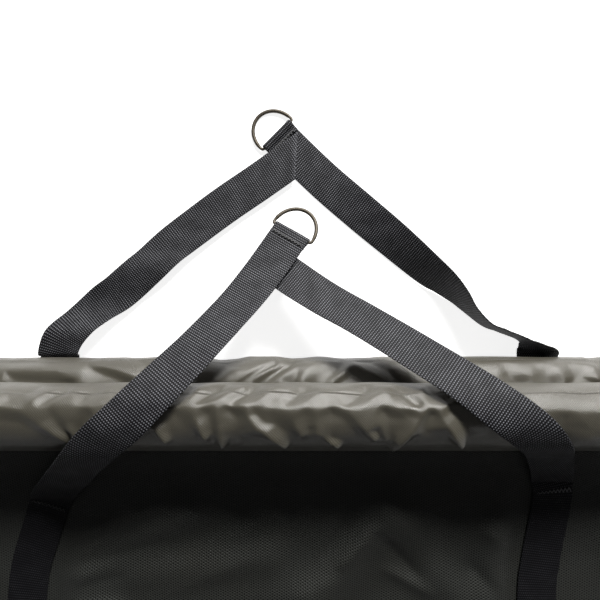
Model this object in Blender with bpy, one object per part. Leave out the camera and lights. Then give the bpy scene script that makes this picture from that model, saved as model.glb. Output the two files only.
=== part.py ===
"""Weigh sling, folded and laid down: two padded sleeves, a mesh body, webbing bands, two handles with D-rings.

Metres, +Z up. X runs along the sleeves, +Y points from the fold to the handles, and the rear half lies on the
ground. The origin is under the middle of the folded sling.
"""
import math
from bisect import bisect_right

import bmesh
import bpy
from mathutils import Matrix, Vector

MM = 0.001

# Clearance between pieces that touch
GAP = 0.3 * MM

# Whole sling
SLING_LENGTH = 1160 * MM
PANEL_DEPTH = 470 * MM
BAND_SPACING = 507 * MM

# Padded sleeves
SLEEVE_WIDTH = 54 * MM
SLEEVE_HEIGHT = 52.4 * MM
SLEEVE_WALL = 3.0 * MM
FRONT_SLEEVE_SHIFT = 15.6 * MM
TAIL_REACH = 26 * MM
FRONT_TAIL_TURN = math.radians(220)
REAR_TAIL_TURN = math.radians(204)
TAIL_SPREAD = math.radians(13)
GATHER_DEPTH = 2.2 * MM
GATHER_PITCH = 74 * MM
CORE_PLAY = 0.8 * MM
END_CLOTH = 1.0 * MM

# Mesh cloth
MESH_THICK = 1.2 * MM
FOLD_HEIGHT = 11 * MM
BINDING_REACH = 10 * MM
BINDING_THICK = 0.9 * MM

# Webbing
WEB_WIDTH = 38 * MM
WEB_THICK = 1.4 * MM
BAND_PLAY = 0.85 * MM
REAR_REACH = 240 * MM
FRONT_REACH = 149 * MM
REAR_HINGE_OUT = 21 * MM
REAR_HINGE_HEIGHT = 19 * MM
FRONT_STITCH_OUT = 46 * MM
FRONT_STITCH_HEIGHT = 34.5 * MM
FRONT_RING_HEIGHT = 27 * MM
BEHIND_LEG = 4 * MM
LEFT_STITCH_BACK = 16.2 * MM
REAR_LEFT_LEVEL = 6.3 * MM
BEND_ROOM = 0.8 * MM
LOOP_STRIP = 10 * MM
END_SKEW = math.radians(-52)
SKEW_RUN = 60 * MM

# D-rings
RING_WIRE = 3.0 * MM
RING_INSIDE = 40.3 * MM
RING_DROP = 27.2 * MM
RING_CORNER = 2.6 * MM

# Thread
THREAD = 0.6 * MM
STITCH_PITCH = 3.6 * MM
BARTACK_DEPTH = 3 * MM
BARTACK_BELOW = 12 * MM
LOOP_STITCH_DEPTH = 1.6 * MM

# Rows of faces along the pieces; a bunch over 1 brings the rows closer where the cloth bends
SLEEVE_STEPS = 66
FRONT_PANEL_COLUMNS = 40
REAR_PANEL_COLUMNS = 8
FRONT_PANEL_ROWS = 14
REAR_PANEL_ROWS = 6
PANEL_BUNCH = 1.6
BAND_ROWS = 26
BAND_BUNCH = 1.7
ROLLED_BAND_BUNCH = 2.2
LEG_ROWS = 20
ROLLED_ROWS = 28
FOLD_TURNS = 8

# Edges sharper than this stay sharp in the shading
SHARP_ANGLE = math.radians(45)

# Places worked out from the sizes above
HALF_LENGTH = SLING_LENGTH / 2
HALF_SPACING = BAND_SPACING / 2
HALF_WIDTH = SLEEVE_WIDTH / 2
HALF_HEIGHT = SLEEVE_HEIGHT / 2
REAR_MESH_Z = WEB_THICK + GAP + MESH_THICK / 2
REAR_SLEEVE_Z = WEB_THICK + GAP + HALF_HEIGHT
SHIFT_SHARE = FRONT_SLEEVE_SHIFT / SLEEVE_WIDTH
STACK_RISE = SLEEVE_HEIGHT * math.sqrt(1 - SHIFT_SHARE ** 2) + 2 * GAP
FRONT_SLEEVE_Z = REAR_SLEEVE_Z + STACK_RISE
FRONT_EDGE = FRONT_SLEEVE_SHIFT + HALF_WIDTH
REAR_HINGE_Y = HALF_WIDTH + REAR_HINGE_OUT
FRONT_HINGE_Y = -FRONT_EDGE - FRONT_STITCH_OUT


def material(name, colour, roughness, metallic=0.0):
    made = bpy.data.materials.new(name)
    made.use_nodes = True
    shader = made.node_tree.nodes["Principled BSDF"]
    shader.inputs["Base Color"].default_value = (*colour, 1.0)
    shader.inputs["Roughness"].default_value = roughness
    shader.inputs["Metallic"].default_value = metallic
    return made


def add_object(name, mesh, finish, parent=None):
    mesh.materials.append(finish)
    made = bpy.data.objects.new(name, mesh)
    bpy.context.scene.collection.objects.link(made)
    if parent:
        made.parent = parent
        made.matrix_parent_inverse = parent.matrix_world.inverted()
    return made


def add_pivot(name, place, parent=None):
    """An empty on a joint's axis; what moves with the joint is parented to it."""
    made = bpy.data.objects.new(name, None)
    bpy.context.scene.collection.objects.link(made)
    if parent:
        made.parent = parent
        made.matrix_parent_inverse = parent.matrix_world.inverted()
    made.matrix_world = Matrix.Translation(place)
    bpy.context.view_layer.update()
    return made


def curve_through(points, steps):
    """A smooth curve through the points, with this many steps from each point to the next."""
    points = [Vector(p) for p in points]
    ends = [2 * points[0] - points[1]] + points + [2 * points[-1] - points[-2]]
    out = []
    for a, b, c, d in zip(ends, ends[1:], ends[2:], ends[3:]):
        for k in range(steps):
            t = k / steps
            pull = (c - a) * t + (2 * a - 5 * b + 4 * c - d) * t ** 2 + (3 * b - a - 3 * c + d) * t ** 3
            out.append(b + pull / 2)
    out.append(points[-1])
    return out


def running_lengths(points):
    lengths = [0.0]
    for a, b in zip(points, points[1:]):
        lengths.append(lengths[-1] + (b - a).length)
    return lengths


def read_at(keys, values, key):
    """The value at a key, straight between its neighbours and straight on past the ends."""
    i = min(max(bisect_right(keys, key) - 1, 0), len(keys) - 2)
    share = (key - keys[i]) / (keys[i + 1] - keys[i])
    return values[i] + (values[i + 1] - values[i]) * share


def smooth_step(low, high, value):
    t = min(max((value - low) / (high - low), 0.0), 1.0)
    return t * t * (3 - 2 * t)


class Drape:
    """A cloth profile across the sling, the same for every X: its height and its length along the cloth."""

    def __init__(self, points, steps=8):
        line = curve_through([(y, z) for y, z in points], steps)
        self.lengths = running_lengths(line)
        self.ys = [p.x for p in line]
        self.zs = [p.y for p in line]

    def length_at(self, y):
        return read_at(self.ys, self.lengths, y)

    def place(self, length):
        y = read_at(self.lengths, self.ys, length)
        z = read_at(self.lengths, self.zs, length)
        step = MM
        dy = read_at(self.lengths, self.ys, length + step) - read_at(self.lengths, self.ys, length - step)
        dz = read_at(self.lengths, self.zs, length + step) - read_at(self.lengths, self.zs, length - step)
        return y, z, Vector((0, -dz, dy)).normalized()

    def height_at(self, y):
        return read_at(self.ys, self.zs, y)


def closed_mesh(name, body, sharp_angle=None):
    """Triangles with their faces pointing out, shaded smooth where an angle for sharp edges is given."""
    bmesh.ops.triangulate(body, faces=body.faces[:])
    bmesh.ops.recalc_face_normals(body, faces=body.faces[:])
    if body.calc_volume(signed=True) < 0:
        bmesh.ops.reverse_faces(body, faces=body.faces[:])
    mesh = bpy.data.meshes.new(name)
    body.to_mesh(mesh)
    body.free()
    if sharp_angle:
        mesh.shade_smooth()
        mesh.set_sharp_from_angle(angle=sharp_angle)
    return mesh


# Ribbons: a ribbon is a list of stations, and a station a list of (middle point, normal) across the width

def ribbon_mesh(name, stations, thickness):
    """One closed body round the stations' middle points."""
    body = bmesh.new()
    top = [[body.verts.new(p + n * thickness / 2) for p, n in row] for row in stations]
    bottom = [[body.verts.new(p - n * thickness / 2) for p, n in row] for row in stations]
    rows = len(stations)
    across = len(stations[0])
    for i in range(rows - 1):
        for j in range(across - 1):
            body.faces.new((top[i][j], top[i + 1][j], top[i + 1][j + 1], top[i][j + 1]))
            body.faces.new((bottom[i][j], bottom[i][j + 1], bottom[i + 1][j + 1], bottom[i + 1][j]))
        body.faces.new((top[i][0], bottom[i][0], bottom[i + 1][0], top[i + 1][0]))
        body.faces.new((top[i][-1], top[i + 1][-1], bottom[i + 1][-1], bottom[i][-1]))
    for j in range(across - 1):
        body.faces.new((top[0][j], top[0][j + 1], bottom[0][j + 1], bottom[0][j]))
        body.faces.new((top[-1][j], bottom[-1][j], bottom[-1][j + 1], top[-1][j + 1]))
    return closed_mesh(name, body, SHARP_ANGLE)


class DrapedStrap:
    """Webbing laid flat along a plan line, then let down on a drape."""

    def __init__(self, plan, drape):
        self.drape = drape
        flat = curve_through([(x, drape.length_at(y)) for x, y in plan], 8)
        self.lengths = running_lengths(flat)
        self.xs = [p.x for p in flat]
        self.flat_ys = [p.y for p in flat]

    def middle(self, at):
        return Vector((read_at(self.lengths, self.xs, at), read_at(self.lengths, self.flat_ys, at)))

    def length_to(self, y):
        """How far along the webbing its middle line passes this Y; the line runs towards +Y."""
        return read_at(self.flat_ys, self.lengths, self.drape.length_at(y))

    def seat(self, at, side):
        """The place and normal so far along the webbing and so far to its right."""
        middle = self.middle(at)
        ahead = (self.middle(at + MM) - middle).normalized()
        point = middle + Vector((ahead.y, -ahead.x)) * side
        y, z, normal = self.drape.place(point.y)
        return Vector((point.x, y, z)), normal

    def seats_from(self, start):
        return lambda side, along: self.seat(start + along, side)

    def level_skew(self, at):
        """The slant that makes a row across the webbing run along X here."""
        ahead = self.middle(at + MM) - self.middle(at)
        return math.atan2(ahead.x, ahead.y)

    def stations(self, start, end, rows, across=4, start_skew=0.0, end_skew=0.0, bunch=1.0):
        """Rows of seats; a bunch over 1 brings the rows closer towards the end."""
        out = []
        for i in range(rows + 1):
            here = end - (end - start) * (1 - i / rows) ** bunch
            slant = end_skew * smooth_step(end - SKEW_RUN, end, here)
            slant += start_skew * (1 - smooth_step(start, start + SKEW_RUN, here))
            sides = [WEB_WIDTH * (j / across - 1 / 2) for j in range(across + 1)]
            out.append([self.seat(here + side * math.tan(slant), side) for side in sides])
        return out


class RolledStrap:
    """Webbing along a line in space; a roll is the direction across the webbing at that point."""

    def __init__(self, places, rolls, steps=6):
        self.steps = steps
        self.line = curve_through(places, steps)
        self.rolls = curve_through(rolls, steps)
        self.lengths = running_lengths(self.line)

    def length_to(self, index):
        return self.lengths[index * self.steps]

    def stations(self, start, end, rows, across=2, bunch=1.0):
        out = []
        for i in range(rows + 1):
            here = end - (end - start) * (1 - i / rows) ** bunch
            middle = read_at(self.lengths, self.line, here)
            ahead = read_at(self.lengths, self.line, here + MM) - read_at(self.lengths, self.line, here - MM)
            ahead.normalize()
            turn = read_at(self.lengths, self.rolls, here)
            turn = (turn - ahead * turn.dot(ahead)).normalized()
            normal = turn.cross(ahead).normalized()
            out.append([(middle + turn * WEB_WIDTH * (j / across - 1 / 2), normal) for j in range(across + 1)])
        return out


STRIP_shares = ((0.25, 0.75), (0.5, 0.2), (0.66, 0), (1, 0))


def loop_round_bar(stations, under):
    """Carries a ribbon round the D-ring's bar and back on itself. Gives the stations, the bar and its frame."""
    last = stations[-1]
    before = stations[-2]
    mid = len(last) // 2
    ahead = (last[mid][0] - before[mid][0]).normalized()
    across = (last[-1][0] - last[0][0]).normalized()
    normal = across.cross(ahead).normalized()
    if normal.z < 0:
        normal = -normal
    side = -1 if under else 1
    radius = RING_WIRE / 2 + GAP + WEB_THICK / 2
    lie = WEB_THICK + GAP * 3 / 2
    steps = [math.pi * k / FOLD_TURNS for k in range(1, FOLD_TURNS + 1)]
    path = [(radius * math.sin(turn), radius * (1 - math.cos(turn))) for turn in steps]
    path += [(-LOOP_STRIP * run, lie + (2 * radius - lie) * rise) for run, rise in STRIP_shares]
    path = [(0.0, 0.0)] + path
    out = []
    for k, (a, h) in enumerate(path[1:], 1):
        a0, h0 = path[k - 1]
        a1, h1 = path[min(k + 1, len(path) - 1)]
        along = Vector((a1 - a0, h1 - h0)).normalized()
        turned = normal * along.x - ahead * along.y * side
        out.append([(p + ahead * a + normal * h * side, turned) for p, _ in last])
    bar = last[mid][0] + normal * radius * side
    return stations + out, bar, across, ahead, normal


def tube_mesh(name, outer, bore):
    """A tube along X: rings of outer points, and a plain bore of two rings with as many points."""
    body = bmesh.new()
    shell = [[body.verts.new(p) for p in ring] for ring in outer]
    hole = [[body.verts.new(p) for p in ring] for ring in bore]
    count = len(shell[0])
    for rings, flip in ((shell, False), (hole, True)):
        for a, b in zip(rings, rings[1:]):
            for j in range(count):
                k = (j + 1) % count
                face = (a[j], b[j], b[k], a[k])
                body.faces.new(face[::-1] if flip else face)
    for j in range(count):
        k = (j + 1) % count
        body.faces.new((shell[0][j], shell[0][k], hole[0][k], hole[0][j]))
        body.faces.new((shell[-1][k], shell[-1][j], hole[-1][j], hole[-1][k]))
    return closed_mesh(name, body, SHARP_ANGLE)


def rod_mesh(name, rings):
    """A solid rod: rings of points with flat ends."""
    body = bmesh.new()
    made = [[body.verts.new(p) for p in ring] for ring in rings]
    count = len(made[0])
    for a, b in zip(made, made[1:]):
        for j in range(count):
            k = (j + 1) % count
            body.faces.new((a[j], b[j], b[k], a[k]))
    body.faces.new(made[0])
    body.faces.new(made[-1][::-1])
    return closed_mesh(name, body, SHARP_ANGLE)


def zigzag_thread(name, seat, count, depth, lift):
    """One thread that zigzags across webbing. A seat gives the place and normal so far across and along."""
    stations = []
    for k in range(2 * count + 1):
        across = STITCH_PITCH * (k / 2 - count / 2)
        along = depth * (0.5 if k % 2 else -0.5)
        row = []
        for edge in (-THREAD, THREAD):
            place, normal = seat(across, along + edge)
            row.append((place + normal * (lift + THREAD / 2), normal))
        stations.append(row)
    return ribbon_mesh(name, stations, THREAD)


def flat_seat(middle, across, normal):
    """Seats on a plane."""
    ahead = normal.cross(across).normalized()
    return lambda side, along: (middle + across * side + ahead * along, normal)


def wire_mesh(name, path, flat_normal, sides=8):
    """A round wire bent into a closed flat path."""
    body = bmesh.new()
    count = len(path)
    rings = []
    for i, point in enumerate(path):
        along = (path[(i + 1) % count] - path[i - 1]).normalized()
        out = along.cross(flat_normal)
        ring = []
        for k in range(sides):
            turn = 2 * math.pi * k / sides
            offset = out * math.cos(turn) + flat_normal * math.sin(turn)
            ring.append(body.verts.new(point + offset * RING_WIRE / 2))
        rings.append(ring)
    for i in range(count):
        a, b = rings[i], rings[(i + 1) % count]
        for k in range(sides):
            m = (k + 1) % sides
            body.faces.new((a[k], b[k], b[m], a[m]))
    return closed_mesh(name, body, SHARP_ANGLE)


# Sleeves

TAIL_STEPS = [math.radians(a) for a in (0, 6, 13, 24, 45, 70, 95, 120, 150, 180)]
RING_TURNS = TAIL_STEPS + [-a for a in TAIL_STEPS[-2:0:-1]]
SHELL_HALF_LENGTH = HALF_LENGTH - END_CLOTH - GAP


def gather_wave(x, phase):
    """Uneven gathers along the sleeve, from -1 to 1."""
    long = math.sin(2 * math.pi * x / (GATHER_PITCH * 2.7) + phase)
    short = math.sin(2 * math.pi * x / GATHER_PITCH + 2 * phase + long)
    return 0.35 * long + 0.65 * short


def sleeve_ring(x, centre_y, centre_z, tail_turn, gathered_turn, phase, grow=0.0, tail=True):
    points = []
    for off in RING_TURNS:
        turn = tail_turn + off
        y = HALF_WIDTH * math.cos(turn)
        z = HALF_HEIGHT * math.sin(turn)
        reach = math.hypot(y, z) + grow
        if tail:
            reach += TAIL_REACH * math.exp(-(off / TAIL_SPREAD) ** 2)
            apart = (turn - gathered_turn + math.pi) % (2 * math.pi) - math.pi
            reach += GATHER_DEPTH * gather_wave(x, phase) * (1 - smooth_step(0, math.radians(50), abs(apart)))
        points.append(Vector((x, centre_y + reach * math.cos(turn), centre_z + reach * math.sin(turn))))
    return points


def make_sleeve(name, centre_y, centre_z, tail_turn, gathered_turn, phase, parent):
    def ring(x, **options):
        return sleeve_ring(x, centre_y, centre_z, tail_turn, gathered_turn, phase, **options)

    xs = [SHELL_HALF_LENGTH * (2 * i / SLEEVE_STEPS - 1) for i in range(SLEEVE_STEPS + 1)]
    bore = [ring(x, grow=-SLEEVE_WALL, tail=False) for x in (xs[0], xs[-1])]
    add_object(f"{name}_sleeve", tube_mesh(f"{name}_sleeve", [ring(x) for x in xs], bore), SLEEVE_CLOTH, parent)

    slack = -SLEEVE_WALL - CORE_PLAY
    core_end = SHELL_HALF_LENGTH - CORE_PLAY
    core = [ring(x, grow=slack, tail=False) for x in (-core_end, core_end)]
    add_object(f"{name}_core", rod_mesh(f"{name}_core", core), FOAM, parent)

    for side, sign in (("left", -1), ("right", 1)):
        near = SHELL_HALF_LENGTH + GAP
        disc = [ring(sign * x, tail=False) for x in (near, near + END_CLOTH)]
        add_object(f"{name}_{side}_sleeve_end", rod_mesh(f"{name}_{side}_end", disc), SLEEVE_CLOTH, parent)


def tail_tip(centre_y, centre_z, turn):
    reach = math.hypot(HALF_WIDTH * math.cos(turn), HALF_HEIGHT * math.sin(turn)) + TAIL_REACH
    return centre_y + reach * math.cos(turn), centre_z + reach * math.sin(turn)


# Mesh body

FRONT_SEAM_Y, FRONT_SEAM_Z = tail_tip(-FRONT_SLEEVE_SHIFT, FRONT_SLEEVE_Z, FRONT_TAIL_TURN)
REAR_SEAM_Y, REAR_SEAM_Z = tail_tip(0, REAR_SLEEVE_Z, REAR_TAIL_TURN)
WEB_OVER_MESH = MESH_THICK / 2 + BAND_PLAY + WEB_THICK / 2
FALL_shares = ((0, 1), (0.044, 0.76), (0.0765, 0.63), (0.128, 0.49), (0.225, 0.322), (0.346, 0.209), (0.661, 0.068),
               (1, 0))


def front_mesh_drape(raised=0.0):
    """The front mesh from its fold to its seam, or the line that lies this much above it."""
    seam_y = FRONT_SEAM_Y - GAP
    points = []
    for run, rise in reversed(FALL_shares):
        y = seam_y + (-PANEL_DEPTH - seam_y) * run
        points.append((y, FOLD_HEIGHT + (FRONT_SEAM_Z - FOLD_HEIGHT) * rise + raised))
    return points


REAR_FALL_END_share = 0.06


def rear_mesh_drape():
    seam_y = REAR_SEAM_Y - GAP
    level = seam_y + (-PANEL_DEPTH - seam_y) * REAR_FALL_END_share
    return [(-PANEL_DEPTH, REAR_MESH_Z), (level + (-PANEL_DEPTH - level) / 2, REAR_MESH_Z), (level, REAR_MESH_Z),
            (seam_y, REAR_SEAM_Z)]


# The front bands' middle lines: (share of half the band spacing, share of the panel's depth)
FRONT_LEFT_BAND_shares = ((-1.0, -1.0), (-1.0, -0.9), (-1.006, -0.70), (-1.018, -0.51), (-1.002, -0.394),
                          (-0.947, -0.298), (-0.89, -0.225))
FRONT_RIGHT_BAND_shares = ((1.0, -1.0), (1.0, -0.9), (0.97, -0.70), (0.961, -0.447), (0.973, -0.362), (1.0, -0.243))


def band_middle(shares, y):
    return read_at([row[1] * PANEL_DEPTH for row in shares], [row[0] * HALF_SPACING for row in shares], y)


# Each fold runs from one place to another and has a height and a half width. X is a share of half the band
# spacing, Y a share of the panel's depth, height of the fold's height, and width of the webbing's width.
FOLD_shares = (
    (-0.86, -0.40, -0.40, -0.27, 0.50, 0.45), (-0.88, -0.42, -0.10, -0.36, 0.50, 0.55),
    (-0.80, -0.50, 0.05, -0.44, 0.35, 0.60), (0.08, -0.48, 0.38, -0.27, 0.60, 0.50),
    (0.22, -0.52, 0.52, -0.36, -0.25, 0.55), (0.45, -0.30, 0.66, -0.46, 0.45, 0.50),
    (0.78, -0.60, 0.82, -0.30, 0.70, 0.45), (-0.55, -0.80, 0.10, -0.66, 0.40, 0.80),
    (0.20, -0.85, 0.70, -0.70, 0.40, 0.80), (-1.75, -0.50, -1.30, -0.30, 0.50, 0.70),
    (1.30, -0.32, 1.75, -0.52, 0.50, 0.70), (-1.90, -0.80, -1.40, -0.72, 0.35, 0.80),
    (1.35, -0.78, 1.95, -0.70, 0.35, 0.80),
)


def fold_height(x, y):
    height = 0.0
    for x0, y0, x1, y1, rise, width in FOLD_shares:
        start = Vector((x0 * HALF_SPACING, y0 * PANEL_DEPTH))
        run = Vector((x1 * HALF_SPACING, y1 * PANEL_DEPTH)) - start
        here = Vector((x, y)) - start
        along = min(max(here.dot(run) / run.length_squared, 0), 1)
        apart = (here - run * along).length / (width * WEB_WIDTH)
        height += rise * FOLD_HEIGHT * math.exp(-apart ** 2)
    from_band = min(abs(x - band_middle(shares, y)) for shares in (FRONT_LEFT_BAND_shares, FRONT_RIGHT_BAND_shares))
    calm = smooth_step(WEB_WIDTH * 1.3, WEB_WIDTH * 2.1, from_band)
    calm *= smooth_step(0, WEB_WIDTH, PANEL_DEPTH + y) * smooth_step(0, WEB_WIDTH * 1.5, FRONT_SEAM_Y - y)
    return height * calm * smooth_step(BINDING_REACH, BINDING_REACH * 4, HALF_LENGTH - abs(x))


PANEL_EDGE = HALF_LENGTH - BINDING_THICK - GAP


def panel_places(drape, rows):
    """Places along the mesh from the fold to the seam, closer together near the seam, where it bends."""
    start = drape.length_at(-PANEL_DEPTH + GAP)
    end = drape.lengths[-1]
    return [drape.place(end - (end - start) * (1 - i / rows) ** PANEL_BUNCH) for i in range(rows + 1)]


def make_panel(name, drape, columns, rows, folded, parent):
    """One half of the mesh body."""
    stations = []
    for y, z, normal in panel_places(drape, rows):
        row = []
        for j in range(columns + 1):
            x = PANEL_EDGE * (2 * j / columns - 1)
            row.append((Vector((x, y, z)) + normal * (fold_height(x, y) if folded else 0), normal))
        stations.append(row)
    add_object(name, ribbon_mesh(name, stations, MESH_THICK), MESH_CLOTH, parent)


def make_binding(name, drape, rows, sign, parent):
    """Tape folded over the side edge of the mesh: a U along the mesh's profile."""
    inner = MESH_THICK / 2 + GAP
    outer = inner + BINDING_THICK
    slot = PANEL_EDGE + GAP
    mouth = HALF_LENGTH - BINDING_REACH
    outline = ((mouth, inner), (slot, inner), (slot, -inner), (mouth, -inner), (mouth, -outer),
               (HALF_LENGTH, -outer), (HALF_LENGTH, outer), (mouth, outer))
    rings = []
    for y, z, normal in panel_places(drape, rows):
        rings.append([Vector((sign * x, y, z)) + normal * up for x, up in outline])
    add_object(name, rod_mesh(name, rings), TAPE, parent)


FOLD_MIDDLE_Z = (REAR_MESH_Z + FOLD_HEIGHT) / 2


def turn_round_fold(name, low, high, xs, thickness, finish):
    """Cloth or webbing that turns from a low level on the rear half to a high one on the front half."""
    radius = (high - low) / 2
    stations = []
    for k in range(FOLD_TURNS + 1):
        turn = -math.pi / 2 - math.pi * k / FOLD_TURNS
        normal = Vector((0, math.cos(turn), math.sin(turn)))
        centre = Vector((0, -PANEL_DEPTH, low + radius))
        stations.append([(centre + normal * radius + Vector((x, 0, 0)), normal) for x in xs])
    add_object(name, ribbon_mesh(name, stations, thickness), finish)


# Webbing routes. Plan points are (share of half the band spacing, share of the way from the hinge to the ring).

def plan_line(shares, hinge_y, reach):
    return [(x * HALF_SPACING, hinge_y + y * (reach - hinge_y)) for x, y in shares]


def band_line(shares):
    """Plan points of a band: (share of half the band spacing, share of the panel's depth)."""
    return [(x * HALF_SPACING, y * PANEL_DEPTH) for x, y in shares]


def over_sleeve(turn, clear_share):
    """A point over the front sleeve, at this turn round its axis, clear of it by a share of its half width."""
    turn = math.radians(turn)
    y = HALF_WIDTH * (1 + clear_share) * math.cos(turn)
    z = HALF_HEIGHT * (1 + clear_share) * math.sin(turn)
    return y - FRONT_SLEEVE_SHIFT, z + FRONT_SLEEVE_Z


RAMP_shares = ((0.179, 0.83), (0.343, 0.61), (0.471, 0.43), (0.6, 0.275), (0.779, 0.125), (1, 0))


def ramp(crest, lowered=0.0):
    """The way down from the crest over the front sleeve to the D-ring."""
    run_down = FRONT_REACH - crest[0]
    fall = crest[1] - FRONT_RING_HEIGHT
    return [(crest[0] + run_down * run, FRONT_RING_HEIGHT + fall * rise - lowered) for run, rise in RAMP_shares]


def before_hinge(shares):
    return [(FRONT_HINGE_Y + run * FRONT_STITCH_OUT, FRONT_STITCH_HEIGHT * rise) for run, rise in shares]


FRONT_LEFT_OVER_shares = ((187, 1.0), (166, 0.56), (137, 0.33), (101, 0.3), (76, 0.36), (52, 0.5))
FRONT_RIGHT_OVER_shares = ((197, 0.63), (180, 0.32), (159, 0.18), (134, 0.18), (109, 0.24), (86, 0.33), (52, 0.43))
FRONT_LEFT_BASE_shares = ((-0.27, 1.12), (-0.074, 1.36), (0.143, 1.73))
FRONT_RIGHT_BASE_shares = ((-0.009, 1.0), (0.404, 1.515))
FRONT_LEFT_MERGE_share = 0.24
FRONT_RIGHT_MERGE_share = 0.2


def front_drape(base_shares, over_shares, merge_share, lowered):
    """From the fold, along the mesh, up over the front sleeve and down to the D-ring."""
    mesh = Drape(front_mesh_drape(WEB_OVER_MESH))
    steps = 16
    ys = [-PANEL_DEPTH * (1 + (merge_share - 1) * k / steps) for k in range(steps + 1)]
    along = [(y, mesh.height_at(y)) for y in ys]
    over = [over_sleeve(turn, clear) for turn, clear in over_shares]
    return Drape(along + before_hinge(base_shares) + over + ramp(over[-1], lowered))


FRONT_LEFT_LEG_shares = ((-0.777, 0.048), (-0.624, 0.205), (-0.484, 0.346), (-0.332, 0.517), (-0.191, 0.691),
                         (-0.068, 0.87), (0.012, 1))
FRONT_RIGHT_LEG_shares = ((0.99, -0.002), (0.931, 0.114), (0.817, 0.235), (0.656, 0.381), (0.51, 0.487),
                          (0.275, 0.643), (0.13, 0.73), (0.0, 0.823))
REAR_LEFT_BAND_shares = ((-1.0, -1.0), (-1.0, -0.5), (-1.0, -0.25), (-0.985, -0.1), (-0.957, 0.0), (-0.92, 0.056))
REAR_LEFT_LEG_shares = ((-0.872, 0), (-0.756, 0.146), (-0.667, 0.234), (-0.556, 0.362), (-0.464, 0.474),
                        (-0.352, 0.589), (-0.245, 0.693), (-0.128, 0.798), (0.029, 0.943))
REAR_LEFT_WAVE_shares = ((-0.2, 0.75), (-0.06, 0.96), (0, 1), (0.06, 0.98), (0.125, 0.8), (0.25, 0.42), (0.4, 0.33),
                         (0.53, 0.47), (0.66, 0.6), (0.78, 0.56), (0.9, 0.42))
ON_GROUND = WEB_THICK / 2


def rear_left_drape():
    """Flat under the sleeve, up to a kink behind it, down in a wave, then level over the other leg's end."""
    length = REAR_REACH - REAR_HINGE_Y
    wave = [(REAR_HINGE_Y + run * length / 2, REAR_HINGE_HEIGHT * rise) for run, rise in REAR_LEFT_WAVE_shares]
    start = [(-PANEL_DEPTH, ON_GROUND), (-PANEL_DEPTH / 2, ON_GROUND), (0, ON_GROUND),
             (HALF_WIDTH * 0.4, ON_GROUND * 1.2), (HALF_WIDTH * 0.75, ON_GROUND * 2.6),
             (HALF_WIDTH, ON_GROUND * 6)]
    level = [(REAR_HINGE_Y + length * share, REAR_LEFT_LEVEL) for share in (0.6, 0.75, 1, 1.2)]
    return Drape(start + wave + level)


# The right leg of the rear handle stands on its edge behind the sleeve. Each row is the place, as shares of
# half the band spacing, of the sleeve's half width or the leg's length, and of the webbing's width, and the
# direction across the webbing there.
RIGHT_BAND_ROWS_shares = (
    (1.0, -17.4, 0.018, (-1, 0, 0)), (1.0, -11.1, 0.018, (-1, 0, 0)), (1.0, -7.0, 0.018, (-1, 0, 0)),
    (1.0, -4.3, 0.018, (-1, 0, 0)), (1.0, -2.4, 0.018, (-1, 0, 0)), (1.0, -1.2, 0.018, (-1, 0, 0)),
    (1.0, -0.4, 0.0185, (-1, 0, 0)), (1.0, 0.1, 0.0205, (-1, 0, 0)), (0.998, 0.42, 0.0315, (-1, 0, -0.02)),
    (0.994, 0.76, 0.089, (-1, 0, -0.11)), (0.986, 1.05, 0.225, (-0.92, 0, -0.36)),
    (0.972, 1.26, 0.405, (-0.62, -0.1, -0.75)), (0.945, 1.46, 0.497, (-0.06, -0.15, -0.98)),
    (0.913, 1.63, 0.501, (0.3, -0.16, -0.94)),
)
RIGHT_HINGE_ROW_shares = (0.876, 1.0, 0.501, (0.34, -0.16, -0.93))
RIGHT_LEG_ROWS_shares = (
    (0.825, 0.026, 0.5, (0.33, -0.16, -0.93)), (0.765, 0.06, 0.5, (0.15, -0.12, -0.98)),
    (0.702, 0.135, 0.5, (-0.02, -0.12, -0.99)), (0.659, 0.203, 0.49, (-0.14, -0.3, -0.94)),
    (0.607, 0.271, 0.45, (-0.28, -0.46, -0.84)), (0.544, 0.339, 0.39, (-0.42, -0.57, -0.70)),
    (0.414, 0.495, 0.27, (-0.58, -0.62, -0.48)), (0.284, 0.646, 0.16, (-0.64, -0.7, -0.27)),
    (0.13, 0.828, 0.064, (-0.67, -0.74, -0.08)), (-0.0465, 1.057, 0.0195, (-0.68, -0.73, 0)),
)


def rear_right_strap():
    places = []
    rolls = []
    for x, y, z, roll in RIGHT_BAND_ROWS_shares:
        places.append((x * HALF_SPACING, y * HALF_WIDTH, max(z * WEB_WIDTH, ON_GROUND)))
        rolls.append(roll)
    places[0] = (places[0][0], -PANEL_DEPTH, places[0][2])
    x, _, z, roll = RIGHT_HINGE_ROW_shares
    places.append((x * HALF_SPACING, REAR_HINGE_Y, z * WEB_WIDTH))
    rolls.append(roll)
    for x, y, z, roll in RIGHT_LEG_ROWS_shares:
        along = REAR_HINGE_Y + y * (REAR_REACH - REAR_HINGE_Y)
        places.append((x * HALF_SPACING, along, max(z * WEB_WIDTH, ON_GROUND)))
        rolls.append(roll)
    return RolledStrap(places, rolls)


LOOP_STITCH_share = 0.8


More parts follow.
